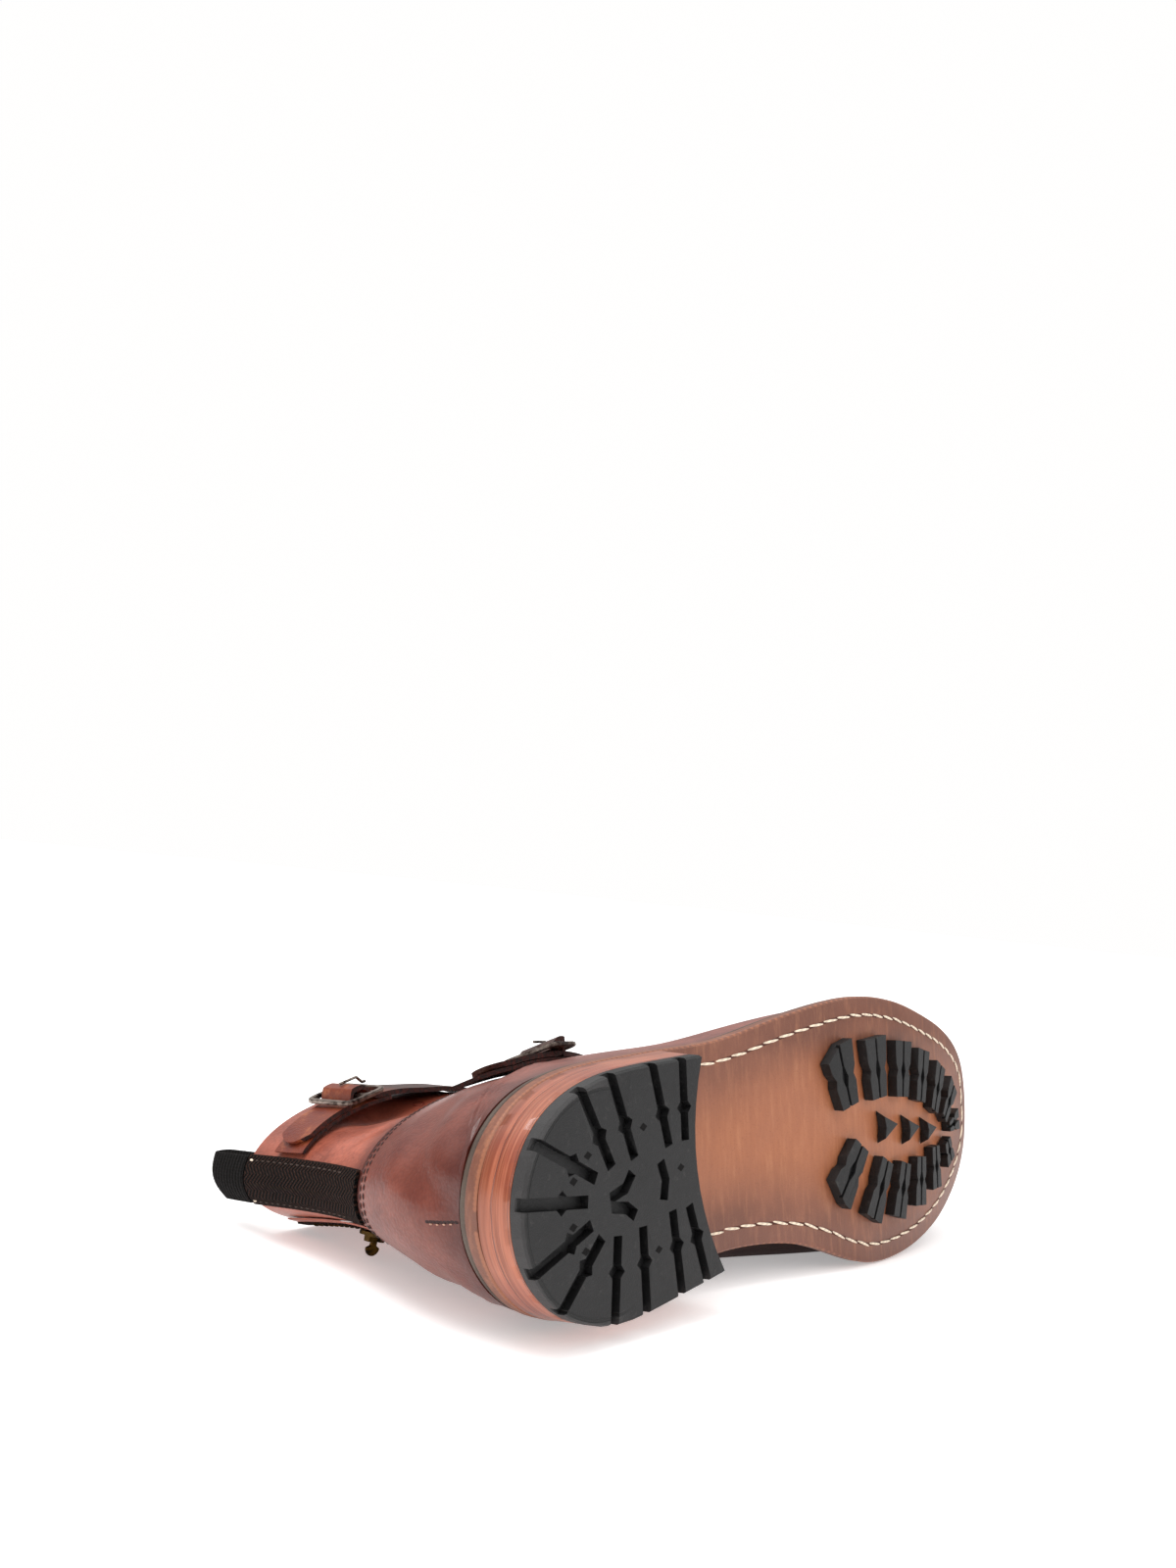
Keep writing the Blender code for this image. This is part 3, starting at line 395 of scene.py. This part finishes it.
# Midsole: a thin dark rand between the outsole and the upper, cut to the same outline, dyed to a dull grey
# brown and glued to both.
midsole = cut_out("midsole", "midsole_rand")
rounded(midsole, 20, 2)
rand, look, place = finish("grey_rand")
cloud = noise(look, place, 60.0, 4.0)
speck = noise(look, place, 900.0)
tone = mixed(look, cloud, paint((104, 92, 82)), paint((66, 56, 50)))
coat(rand, look, Base_Color=tone, Roughness=0.5 + cloud * 0.2, height=(0.0002, speck))
midsole.data.materials.append(rand)
attach(midsole, "grey_rand", "midsole")

# Insole: a board inside the upper, covered with a pale sock of leather and glued in on the midsole. It shows
# only through the collar.
insole = cut_out("insole", "insole_sock")
rounded(insole, 20, 2)
sock, look, place = finish("sock_leather")
cloud = noise(look, place, 40.0, 4.0)
pore = look.node("ShaderNodeTexVoronoi", {}, {"Vector": place, "Scale": 900.0})
tone = mixed(look, cloud, paint((196, 160, 122)), paint((160, 122, 88)))
coat(sock, look, Base_Color=tone, Roughness=0.7, height=(0.00012, pore))
insole.data.materials.append(sock)
attach(insole, "insole_board", "insole")

# Heel: layers of sole leather glued up and pegged, sanded flush, dyed and polished, with a grooved rubber
# top piece. The layers show as fine level lines, darker where the wax gathers. Round the back of the top
# piece its rim carries a lighter band of painted highlight and a thin near-black line, sunk in a little.
RIM_CENTRE = 36.5
RIM_RADIUS = 33.6
EASED_RUBBER = 0.00025
stack = cut_out("heel_stack", "heel_layers")
rounded(stack, 20, 2)
layers, look, place = finish("stacked_leather")
up = along(look, place, 2)
level = noise(look, stretched(look, place, (14.0, 14.0, 1500.0)), 1.0, 3.0, 0.6)
wide = noise(look, stretched(look, place, (26.0, 26.0, 330.0)), 1.0, 2.0, 0.5)
cloud = noise(look, place, 30.0, 3.0)
line = look.node("ShaderNodeTexWave", {"bands_direction": "Z", "wave_profile": "SAW"},
                 {"Vector": place, "Scale": 52.0, "Distortion": 0.6, "Detail": 2.0, "Detail Scale": 1.5})
joint = line.step(0.90, 0.98)
tone = mixed(look, wide.step(0.35, 0.68), paint((182, 110, 84)), paint((144, 82, 60)))
tone = mixed(look, cloud.step(0.50, 0.72) * 0.60, tone, paint((128, 62, 42)))
# lighter level streaks: partly the layers' own tone, partly painted highlights
tone = mixed(look, level.step(0.48, 0.72) * 0.45, tone, paint((204, 138, 110)))
tone = mixed(look, level.step(0.50, 0.32) * 0.55, tone, paint((112, 60, 42)))
tone = mixed(look, joint * 0.55, tone, paint((84, 44, 34)))
tone = mixed(look, up.step(0.0125, 0.0168) * 0.5, tone, paint((116, 68, 52)))
coat(layers, look, Base_Color=tone, Roughness=0.26 + level * 0.16, Coat_Weight=0.25, Coat_Roughness=0.2,
     height=(0.0002, level * 0.6 - joint))
stack.data.materials.append(layers)
attach(stack, "stacked_leather", "heel_stack")

rubber, look, place = finish("black_rubber")
cloud = noise(look, place, 45.0, 4.0)
dust = noise(look, place, 300.0, 4.0, 0.7)
speck = noise(look, place, 2200.0, 2.0)
tone = mixed(look, cloud.step(0.3, 0.75), paint((36, 36, 38)), paint((49, 49, 51)))
tone = mixed(look, dust.step(0.55, 0.78) * 0.30, tone, paint((96, 94, 93)))
from_centre = stretched(look, place, (1.0, 1.0, 0.0))
from_centre = look.node("ShaderNodeVectorMath", {"operation": "DISTANCE"},
                        {0: from_centre, 1: (RIM_CENTRE / 1000, 0, 0)}, 1)
round_back = along(look, place, 0).step(0.046, 0.034)
from_rim = from_centre - RIM_RADIUS / 1000
# a thin near-black line round the back of the top piece, sunk in a little by the bump
dark_rim_line = from_rim.maths("ABSOLUTE", from_rim).step(0.0007, 0.0003) * round_back
# lighter band round the rim at the back: painted highlight on the bevel
rim = from_centre.step(RIM_RADIUS / 1000, RIM_RADIUS / 1000 + 0.0006) * round_back
tone = mixed(look, rim * 0.3, tone, paint((92, 90, 90)))
tone = mixed(look, dark_rim_line, tone, (0.002, 0.002, 0.002, 1.0))
coat(rubber, look, Base_Color=tone, Roughness=0.46 + dust * 0.2, Specular_IOR_Level=0.4,
     height=(0.00012, speck + dust * 0.8 - dark_rim_line * 3.0))


def hard_edges(node, width, material):
    """A solid that shows as it is: welded, its edges eased, with its own finish."""
    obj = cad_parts[node]
    weld = obj.modifiers.new("weld", "WELD")
    weld.merge_threshold = MERGE_GAP
    easing = obj.modifiers.new("easing", "BEVEL")
    easing.width = width
    easing.segments = 2
    easing.limit_method = "ANGLE"
    easing.angle_limit = math.radians(32)
    easing.harden_normals = True
    obj.data.materials.clear()
    obj.data.materials.append(material)


hard_edges("heel_lift", EASED_RUBBER, rubber)

# Heel notches: small diamonds moulded into the rubber of the top piece between its grooves. Each is shallow
# and drawn as a flat near-black diamond of painted shade.
NOTCHES = [(29.0, -15.2), (22.4, -8.9), (54.3, -19.7), (71.2, -4.5), (58.3, 18.5), (21.2, 4.0), (25.8, 11.9)]
NOTCH_SIZE = (3.6, 2.6, 1.0)
NOTCH_SEAT = -0.03
pit, look, place = finish("notch_shadow")
shade_speckle = noise(look, place, 1500.0)
tone = mixed(look, shade_speckle, (0.004, 0.004, 0.004, 1.0), (0.014, 0.013, 0.013, 1.0))
coat(pit, look, Base_Color=tone, Roughness=0.9, Specular_IOR_Level=0.1)
bpy.ops.object.select_all(action="DESELECT")
bpy.ops.mesh.primitive_circle_add(vertices=4, radius=0.5, fill_type="NGON")
notch = bpy.context.object
brought_to_size(notch, NOTCH_SIZE)
places = [(spot(x, y, NOTCH_SEAT), TOE_WAY, -LEG_WAY) for x, y in NOTCHES]
notches = copied(notch, "heel_notch_shadows", places, pit)
attach(notches, "black_rubber")

# Forefoot tread: islands of the same moulded rubber, bonded to the outsole in a U, and three arrow heads
# between the two rows.
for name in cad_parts:
    if name.startswith("lug_"):
        hard_edges(name, EASED_RUBBER, rubber)

# Upper: vamp and counter over a soft shaft, glossy pull-up leather, waxed and burnished dark round its edges,
# lined with tan leather and lasted to the insole. Soft troughs mark where the boot has been worn and packed,
# and a small round mark is pressed into the shaft under the collar strap. Low on the inner side under the
# arch the leather is painted near black, partly its own dark burnish and partly painted shade.
UPPER_BROWN = (108, 63, 55)
UPPER_LIGHT = (147, 90, 79)
UPPER_DARK = (76, 39, 32)
SHAFT_ORANGE = (202, 119, 98)
TROUGHS = [
    # start and end in boot millimetres, width, depth
    ((13, -11, 97.5), (30, -20, 86.5), 2.2, 0.55),
    ((38, -17, 117), (58, -19, 123), 6.0, 2.2),
    ((26, -28, 56), (2, -12, 47), 5.5, 1.3),
    ((2, -12, 46), (0.5, -3, 27), 5.0, 1.0),
    ((38, -35, 38), (60, -33, 70), 7.0, 0.7),
    ((62, -32, 66), (100, -27, 86), 5.0, 0.8),
    ((46, -22, 92), (84, -22, 100), 4.5, 0.8),
    ((150, -30, 62), (172, 0, 78), 4.5, 0.8),
    ((172, -36, 52), (192, 0, 70), 4.5, 0.8),
    ((150, 30, 62), (170, 6, 78), 4.5, 0.7),
    ((24, 30, 46), (8, 18, 44), 4.5, 0.8),
    ((46, 20, 92), (84, 20, 100), 4.5, 0.8),
]
SHAFT_MIDDLE = (45, 0, 120)
COUNTER_BACK = Vector((4.0, 0.0, 75.0))
COUNTER_FRONT = Vector((127.4, 0.0, 105.4))
ROUND_MARK = (66.6, -22, 119)
ROUND_MARK_RADIUS = 0.0020
upper = cut_out("upper", "upper_leather")
rounded(upper, 32, 2)


def pick_faces(obj, wanted):
    """Go into edit mode with the wanted faces of an object selected and nothing else."""
    alone(obj)
    bpy.ops.object.mode_set(mode="EDIT")
    bpy.ops.mesh.select_mode(type="FACE")
    bpy.ops.mesh.select_all(action="DESELECT")
    bpy.ops.object.mode_set(mode="OBJECT")
    for face in obj.data.polygons:
        face.select = face.index in wanted
    bpy.ops.object.mode_set(mode="EDIT")


def hollow_side(obj, within):
    """Faces of the hollow side of a shell: all that run on smoothly from one seen from a point within it."""
    seed = obj.ray_cast(within, INNER_WAY)[3]
    pick_faces(obj, {seed})
    bpy.ops.mesh.faces_select_linked_flat(sharpness=math.radians(40))
    bpy.ops.object.mode_set(mode="OBJECT")
    return [face.select for face in obj.data.polygons]


def sag(obj, inside, troughs):
    """Press soft troughs into a shell along short lines; the two sides of its wall move together."""
    normals = [v.normal.copy() for v in obj.data.vertices]
    for face, within in zip(obj.data.polygons, inside):
        if within:
            for corner in face.vertices:
                normals[corner] = -obj.data.vertices[corner].normal
    lines = [(spot(*a), spot(*b), width / 1000, depth / 1000) for a, b, width, depth in troughs]
    for vertex, normal in zip(obj.data.vertices, normals):
        for a, b, width, depth in lines:
            run = b - a
            t = max(-0.25, min(1.25, (vertex.co - a).dot(run) / run.dot(run)))
            fade = max(0.0, 1 - (2 * t - 1) ** 2 / 2.25)
            away = (vertex.co - a - run * t).length
            if away < 4 * width:
                ridge = 0.45 * math.exp(-((away - 1.9 * width) / (0.9 * width)) ** 2)
                vertex.co += normal * depth * fade * (ridge - math.exp(-(away / width) ** 2))


hollow = hollow_side(upper, spot(*SHAFT_MIDDLE))
sag(upper, hollow, TROUGHS)
mark_centre = LYING @ upper.closest_point_on_mesh(spot(*ROUND_MARK))[1]
rise = (COUNTER_FRONT - COUNTER_BACK).normalized()
hide, look, place = finish("burnished_leather")
up = along(look, place, 2)
ahead = along(look, place, 0)
above = (up - COUNTER_BACK.z / 1000) * rise.x - (ahead - COUNTER_BACK.x / 1000) * rise.z
cloud = noise(look, place, 16.0, 4.0, 0.6)
patch = noise(look, place, 55.0, 4.0, 0.6)
pebble = look.node("ShaderNodeTexVoronoi", {"feature": "SMOOTH_F1"},
                   {"Vector": place, "Scale": 820.0, "Smoothness": 0.6, "Randomness": 1.0})
pore = noise(look, place, 1900.0, 2.0, 0.6)
wrinkle = look.node("ShaderNodeTexVoronoi", {"feature": "DISTANCE_TO_EDGE"},
                    {"Vector": stretched(look, place, (150.0, 150.0, 210.0)), "Scale": 1.0})
line = wrinkle.step(0.10, 0.0) * patch.step(0.45, 0.70)
tone = mixed(look, cloud.step(0.34, 0.66), paint(UPPER_BROWN), paint(UPPER_LIGHT))
tone = mixed(look, above.step(0.002, 0.012) * cloud.step(0.62, 0.40) * 0.8, tone, paint(SHAFT_ORANGE))
tone = mixed(look, patch.step(0.40, 0.75) * 0.45, tone, paint((90, 48, 39)))
tone = mixed(look, above.step(0.0, 0.010) * ahead.step(0.040, 0.070) * 0.8, tone, paint(UPPER_BROWN))
low_edge = 1 - (up - 0.012 * (1 - ahead.step(0.09, 0.20))).step(0.012, 0.030)
tone = mixed(look, low_edge * 0.70, tone, paint(UPPER_DARK))
tone = mixed(look, ahead.step(0.23, 0.30) * 0.55, tone, paint(UPPER_DARK))
# under the arch on the inner side: near black, partly the leather's dark burnish, partly painted shade where
# the boot lies on that side
arch_burnish_and_shade = along(look, place, 1).step(0.026, 0.040) * up.step(0.075, 0.030) * ahead.step(0.075, 0.100)
tone = mixed(look, arch_burnish_and_shade * 0.9, tone, paint((36, 19, 15)))
tone = mixed(look, line * 0.18, tone, paint(UPPER_DARK))
tone = mixed(look, pebble.step(0.35, 0.75) * 0.16, tone, paint((70, 36, 30)))
# dark line along the counter's cut edge: painted shadow of its step
counter_edge_shadow = above.maths("ABSOLUTE", above + 0.0002).step(0.0011, 0.0003)
tone = mixed(look, counter_edge_shadow * 0.8, tone, paint((74, 40, 32)))
from_mark = look.node("ShaderNodeVectorMath", {"operation": "DISTANCE"}, {0: place, 1: mark_centre}, 1)
from_ring = from_mark - ROUND_MARK_RADIUS
mark = from_ring.maths("ABSOLUTE", from_ring).step(0.0006, 0.0002)
tone = mixed(look, mark * 0.6, tone, paint((96, 48, 40)))
relief = pebble * -0.5 + pore * 0.35 - line * 0.3 + patch * 0.5 - mark * 1.5
coat(hide, look, Base_Color=tone, Roughness=0.36 + patch * 0.10 + arch_burnish_and_shade * 0.5, Specular_IOR_Level=0.28,
     Coat_Weight=0.24 - arch_burnish_and_shade * 0.24, Coat_Roughness=0.20, height=(0.00020, relief))
lining, look, place = finish("tan_lining")
cloud = noise(look, place, 40.0, 4.0)
pore = look.node("ShaderNodeTexVoronoi", {}, {"Vector": place, "Scale": 1100.0})
tone = mixed(look, cloud, paint((176, 132, 96)), paint((138, 98, 70)))
coat(lining, look, Base_Color=tone, Roughness=0.75, height=(0.00012, pore))
upper.data.materials.append(hide)
upper.data.materials.append(lining)
for face, inside in zip(upper.data.polygons, hollow):
    face.material_index = int(inside)
attach(upper, "burnished_leather", "upper")

# Upper seams: two rows of dark waxed thread under the cut edge of the counter and vamp, and a short back seam
# at the heel with a row of small dull stitches beside it. The fold of the back seam is a short dark line of
# painted shadow, made of pieces of the dark thread sunk into the leather.
SEAM_ROWS = (-1.7, -3.6)
SEAM_PITCH = 2.7
SEAM_THREAD = (2.4, 0.7, 0.6)
SEAM_PROUD = 0.00005
BACK_SEAM_START = (-3, 0.9, 26.4)
BACK_SEAM_STEP = (0, 0.1, 1.35)
BACK_SEAM_COUNT = 9
BACK_SEAM_SHADOW_SIZE = (2.6, 1.1, 0.7)
BACK_SEAM_PROUD = -0.0001
BACK_STITCH_START = (-3, 1.7, 28)
BACK_STITCH_STEP = (0, 0.2, 2.5)
BACK_STITCH_COUNT = 4
BACK_STITCH_THREAD = (1.2, 0.5, 0.5)
BACK_STITCH_PROUD = 0.0002


def section_line(obj, faces_kept, point, normal):
    """The closed line where a level cuts the kept faces of a shell, as points in order."""
    skin = bpy.data.objects.new("cut_skin", obj.data.copy())
    bpy.context.scene.collection.objects.link(skin)
    pick_faces(skin, {i for i, kept in enumerate(faces_kept) if not kept})
    bpy.ops.mesh.delete(type="FACE")
    bpy.ops.mesh.select_all(action="SELECT")
    bpy.ops.mesh.bisect(plane_co=point, plane_no=normal, clear_inner=True, clear_outer=True)
    bpy.ops.object.mode_set(mode="OBJECT")
    links = {}
    for edge in skin.data.edges:
        a, b = edge.vertices
        links.setdefault(a, []).append(b)
        links.setdefault(b, []).append(a)
    spots = [v.co.copy() for v in skin.data.vertices]
    bpy.data.objects.remove(skin)
    best = []
    left = set(links)
    while left:
        ends = [v for v in left if len(links[v]) == 1]
        line = [ends[0] if ends else min(left)]
        left.discard(line[0])
        while True:
            onward = [v for v in links[line[-1]] if v in left]
            if not onward:
                break
            line.append(onward[0])
            left.discard(onward[0])
        if len(line) > len(best):
            best = line
    line = [spots[v] for v in best]
    return line + line[:1]


def skin_normal(obj, point):
    """The place of a surface that is nearest to a point, and the way out of it there."""
    _, where, normal, _ = obj.closest_point_on_mesh(point)
    return where, normal


outside = [not inside for inside in hollow]
level_way = STANDING.to_3x3() @ Vector((-rise.z, 0, rise.x))
dark_thread_and_fold_shadow = thread_finish("dark_thread_and_fold_shadow", (70, 44, 36), 500.0)
places = []
for drop in SEAM_ROWS:
    level_point = spot(*COUNTER_BACK) + level_way * drop / 1000
    line = section_line(upper, outside, level_point, level_way)
    for point, run in resampled([p * 1000 for p in line], SEAM_PITCH):
        where, normal = skin_normal(upper, point / 1000)
        places.append((where + normal * SEAM_PROUD, run, normal))
counter_stitch = sew("counter_stitch", places, SEAM_THREAD, dark_thread_and_fold_shadow)
attach(counter_stitch, "burnished_leather")


def up_the_back(start, step, count, proud):
    """Places one above the other on the back of the heel, proud of the leather or sunk in it."""
    places = []
    for i in range(count):
        where, normal = skin_normal(upper, spot(*(Vector(start) + Vector(step) * i)))
        places.append((where + normal * proud, LEG_WAY, normal))
    return places


# the fold of the back seam: a short dark line of painted shadow, built from dark thread pieces sunk in the
# leather
places = up_the_back(BACK_SEAM_START, BACK_SEAM_STEP, BACK_SEAM_COUNT, BACK_SEAM_PROUD)
back_seam_shadow = sew("back_seam_shadow", places, BACK_SEAM_SHADOW_SIZE, dark_thread_and_fold_shadow)
attach(back_seam_shadow, "burnished_leather")
dull_thread = thread_finish("dull_thread", (196, 152, 132), 500.0)
places = up_the_back(BACK_STITCH_START, BACK_STITCH_STEP, BACK_STITCH_COUNT, BACK_STITCH_PROUD)
back_stitch = sew("back_seam_stitch", places, BACK_STITCH_THREAD, dull_thread)
attach(back_stitch, "burnished_leather")

# Back strip and pull loop: a strip of black herringbone canvas sewn over the back seam of the shaft along
# both its edges, tacked at the collar, and a folded loop of ribbed webbing caught under it there.
STRIP_SEAM = 7.2
STRIP_TOP = 139.1
STRIP_PITCH = 3.2
STRIP_STITCHES = 17
STRIP_CLEAR = -40
STRIP_PROUD = 0.0001
STRIP_THREAD = (1.8, 0.5, 0.4)
TACK_THREAD = (2.0, 0.8, 0.6)
strip = cut_out("back_strip", "canvas_strip")
rounded(strip, 40, 2)
canvas, look, place = finish("black_canvas")
across = along(look, place, 1)
height = along(look, place, 2)
fold = across.maths("PINGPONG", across, 0.0028)
rib = (height + fold).maths("PINGPONG", height + fold, 0.0009) * 1111.0
fuzz = noise(look, place, 2600.0, 3.0)
cloud = noise(look, place, 70.0)
pick = across.maths("PINGPONG", across * 0.9 + height * 0.3, 0.0005) * 2000.0
thread = rib.step(0.40, 0.70) * (0.35 + pick.step(0.15, 0.55) * 0.65)
tone = mixed(look, thread, paint((10, 8, 8)), paint((76, 62, 58)))
tone = mixed(look, fuzz.step(0.50, 0.7) * 0.45, tone, paint((20, 15, 14)))
tone = mixed(look, cloud.step(0.4, 0.8) * 0.3, tone, paint((34, 25, 23)))
coat(canvas, look, Base_Color=tone, Roughness=1.0, Specular_IOR_Level=0.15, height=(0.0006, rib + fuzz * 0.4))
strip.data.materials.append(canvas)
attach(strip, "black_canvas", "back_strip")
tacks, edge_row = [], []
for side in (-1, 1):
    for i in range(STRIP_STITCHES):
        behind = spot(STRIP_CLEAR, side * STRIP_SEAM, STRIP_TOP - i * STRIP_PITCH)
        _, where, normal, _ = strip.ray_cast(behind, TOE_WAY)
        (edge_row if i else tacks).append((where + normal * STRIP_PROUD, LEG_WAY, normal))
tack = sew("strip_tack_stitch", tacks, TACK_THREAD, cream_thread)
attach(tack, "black_canvas")
grey_thread = thread_finish("grey_thread", (84, 70, 64), 500.0)
strip_row = sew("strip_edge_stitch", edge_row, STRIP_THREAD, grey_thread)
attach(strip_row, "black_canvas")

loop = cut_out("pull_loop", "webbing_loop")
rounded(loop, 40, 2)
webbing, look, place = finish("black_webbing")
height = along(look, place, 2)
cord_rib = height.maths("PINGPONG", height, 0.0009) * 1111.0
across = along(look, place, 1)
weft = across.maths("PINGPONG", across, 0.0005) * 2000.0
fuzz = noise(look, place, 2600.0, 3.0)
tone = mixed(look, cord_rib.step(0.2, 0.9), paint((16, 13, 13)), paint((50, 44, 42)))
tone = mixed(look, fuzz.step(0.55, 0.8) * 0.4, tone, paint((78, 70, 66)))
coat(webbing, look, Base_Color=tone, Roughness=1.0, Specular_IOR_Level=0.15,
     height=(0.0005, cord_rib + weft * 0.4))
loop.data.materials.append(webbing)
attach(loop, "black_canvas", "pull_loop")

# Straps: two straps of orange-brown bridle leather round the shaft and the ankle, each caught by a buckle on
# a short base strap on the outer side. They are darker towards the front, and their cut edges are dyed dark.
STRAP_ORANGE = (124, 68, 45)
CUT_EDGE_TILT = 0.6
strap_hide, look, place = finish("strap_leather")
cloud = noise(look, place, 45.0, 4.0, 0.6)
streak = noise(look, place, 160.0, 4.0, 0.65)
pebble = look.node("ShaderNodeTexVoronoi", {"feature": "SMOOTH_F1"}, {"Vector": place, "Scale": 1100.0})
tone = mixed(look, cloud.step(0.35, 0.7), paint(STRAP_ORANGE), paint((116, 62, 42)))
# lighter streaks: partly the leather's own tone, partly painted highlights
tone = mixed(look, streak.step(0.50, 0.72) * 0.5, tone, paint((186, 116, 80)))
tone = mixed(look, streak.step(0.48, 0.30) * 0.5, tone, paint((98, 50, 34)))
# each strap darker towards its front
darker_ahead = (along(look, place, 0) + (streak - 0.5) * 0.012).step(0.044, 0.060)
tone = mixed(look, darker_ahead * 0.85, tone, paint((58, 36, 28)))
coat(strap_hide, look, Base_Color=tone, Roughness=0.36 + streak * 0.2,
     height=(0.00022, pebble * -0.5 + streak * 0.6))
cut_edge, look, place = finish("dyed_cut_edge")
fibre = noise(look, place, 700.0, 4.0, 0.7)
tone = mixed(look, fibre.step(0.35, 0.7), paint((44, 26, 20)), paint((92, 56, 40)))
coat(cut_edge, look, Base_Color=tone, Roughness=0.8, height=(0.0003, fibre))
for node in ("collar_strap", "ankle_strap", "collar_strap_base", "ankle_strap_base"):
    band = cut_out(node, node + "_leather")
    band.data.materials.append(strap_hide)
    band.data.materials.append(cut_edge)
    for face in band.data.polygons:
        cut = abs(face.normal.dot(LEG_WAY)) > CUT_EDGE_TILT or node == "ankle_strap_base"
        face.material_index = int(cut)
    rounded(band, 40, 2)
    attach(band, "strap_leather", node)

# Buckles: cast frames with a middle bar, plated in antique pewter and rubbed bright on the edges, held by the
# base straps, and wire prongs through the straps.
EASED_PEWTER = 0.0003
pewter, look, place = finish("antique_pewter")
tarnish = noise(look, place, 220.0, 4.0, 0.65)
scratch = noise(look, place, 1500.0, 2.0)
tone = mixed(look, tarnish.step(0.38, 0.66), paint((150, 138, 130)), paint((62, 54, 50)))
coat(pewter, look, Base_Color=tone, Metallic=1.0, Roughness=0.24 + tarnish * 0.35,
     height=(0.00012, scratch + tarnish))
for node in ("collar_buckle", "ankle_buckle", "collar_prong", "ankle_prong"):
    hard_edges(node, EASED_PEWTER, pewter)

# Inside zip: a chain of brass teeth on a black woven tape, faced with the leather of the upper on both sides,
# a slider of antique brass with two ears, and a pull tab that swings between them.
ZIP_MIDDLE = 27.0
ZIP_FOOT = 83.0
ZIP_CLEAR = 60.0
CHAIN_HALF = 2.6
TEETH = 34
TOOTH_PITCH = 1.5
TOOTH_SIZE = (3.4, 1.1, 1.2)
TOOTH_SHIFT = 0.0007
EASED_BRASS = 0.0002
tape = cut_out("zip_tape", "zip_tape_weave")
rounded(tape, 40, 1)
tape.data.materials.append(canvas)
tape.data.materials.append(hide)
for face in tape.data.polygons:
    face.material_index = int(abs((LYING @ face.center).x * 1000 - ZIP_MIDDLE) > CHAIN_HALF)
attach(tape, "black_canvas", "zip_tape")
brass, look, place = finish("antique_brass")
tarnish = noise(look, place, 260.0, 4.0, 0.65)
tone = mixed(look, tarnish.step(0.35, 0.7), paint((96, 78, 54)), paint((46, 38, 28)))
coat(brass, look, Base_Color=tone, Metallic=1.0, Roughness=0.3 + tarnish * 0.3, height=(0.0001, tarnish))
places = []
for i in range(TEETH):
    hit, where, normal, _ = tape.ray_cast(spot(ZIP_MIDDLE, ZIP_CLEAR, ZIP_FOOT + i * TOOTH_PITCH), -INNER_WAY)
    across = LEG_WAY.cross(normal).normalized()
    if hit:
        places.append((where + across * TOOTH_SHIFT * (-1) ** i, across, normal))
teeth = sew("zip_teeth", places, TOOTH_SIZE, brass)
attach(teeth, "antique_brass")
for node in ("zip_slider", "zip_pull_tab"):
    hard_edges(node, EASED_BRASS, brass)

# Studio: a softly lit white floor in a white room that is brighter overhead, a large soft light above, a
# second one on the side of the sole, and the camera low behind the heel.
bpy.ops.object.select_all(action="DESELECT")
bpy.ops.mesh.primitive_plane_add(size=40.0, location=(0, 0, 0))
floor = bpy.context.object
floor.name = "studio_floor"
paper, look, place = finish("studio_paper")
fibre = noise(look, place, 90.0, 3.0)
tone = mixed(look, fibre, (0.94, 0.93, 0.93, 1.0), (0.92, 0.91, 0.91, 1.0))
coat(paper, look, Base_Color=tone, Roughness=0.7, Emission_Color=(1.0, 0.98, 0.98, 1.0),
     Emission_Strength=0.35)
floor.data.materials.append(paper)
world = bpy.data.worlds.new("studio")
bpy.context.scene.world = world
world.use_nodes = True
sky = Look(world.node_tree)
overhead = sky.node("ShaderNodeSeparateXYZ", {}, {0: sky.node("ShaderNodeTexCoord", {}, {}, 0)}, 2)
backdrop = sky.node("ShaderNodeLightPath", {}, {}, 0)
glow = 0.40 + overhead.step(0.0, 0.9) * 0.75
glow = glow + backdrop * (1 - glow)
background = world.node_tree.nodes["Background"]
background.inputs["Color"].default_value = (1.0, 0.995, 0.99, 1.0)
world.node_tree.links.new(glow.socket, background.inputs["Strength"])


def softbox(name, place, aim, size, watts):
    """A large square light aimed at a point."""
    lamp = bpy.data.lights.new(name, "AREA")
    lamp.shape = "SQUARE"
    lamp.size = size
    lamp.energy = watts
    obj = bpy.data.objects.new(name, lamp)
    obj.location = place
    obj.rotation_euler = (Vector(aim) - Vector(place)).to_track_quat("-Z", "Y").to_euler()
    bpy.context.scene.collection.objects.link(obj)


softbox("top_light", (-0.45, 0.25, 1.2), (-0.02, 0, 0.03), 0.6, 9)
softbox("sole_light", (0.5, -1.4, 0.6), (0.03, -0.05, 0.05), 0.9, 3)
ceiling = bpy.data.lights.new("ceiling_light", "SUN")
ceiling.energy = 0.5
ceiling.angle = math.radians(110)
ceiling_lamp = bpy.data.objects.new("ceiling_light", ceiling)
bpy.context.scene.collection.objects.link(ceiling_lamp)

CAMERA_PLACE = (-238.6, -78.2, -248.2)
CAMERA_RIGHT = Vector((0.67144, 0.05826, -0.73877))
CAMERA_DOWN = Vector((-0.06478, 0.9977, 0.0198))
CAMERA_AHEAD = Vector((0.73822, 0.03456, 0.67367))
FOCAL_PIXELS = 1304.9
PHOTO_HEIGHT = 1600
camera = bpy.data.cameras.new("photo_camera")
camera.lens = FOCAL_PIXELS / PHOTO_HEIGHT * camera.sensor_width
camera.shift_y = 0.125
camera.clip_start = 0.01
viewer = bpy.data.objects.new("photo_camera", camera)
turn = STANDING.to_3x3()
axes = (turn @ CAMERA_RIGHT, turn @ -CAMERA_DOWN, turn @ -CAMERA_AHEAD)
viewer.matrix_world = Matrix(axes).transposed().to_4x4()
viewer.location = spot(*CAMERA_PLACE)
bpy.context.scene.collection.objects.link(viewer)
bpy.context.scene.camera = viewer
bpy.context.scene.view_settings.view_transform = "Standard"
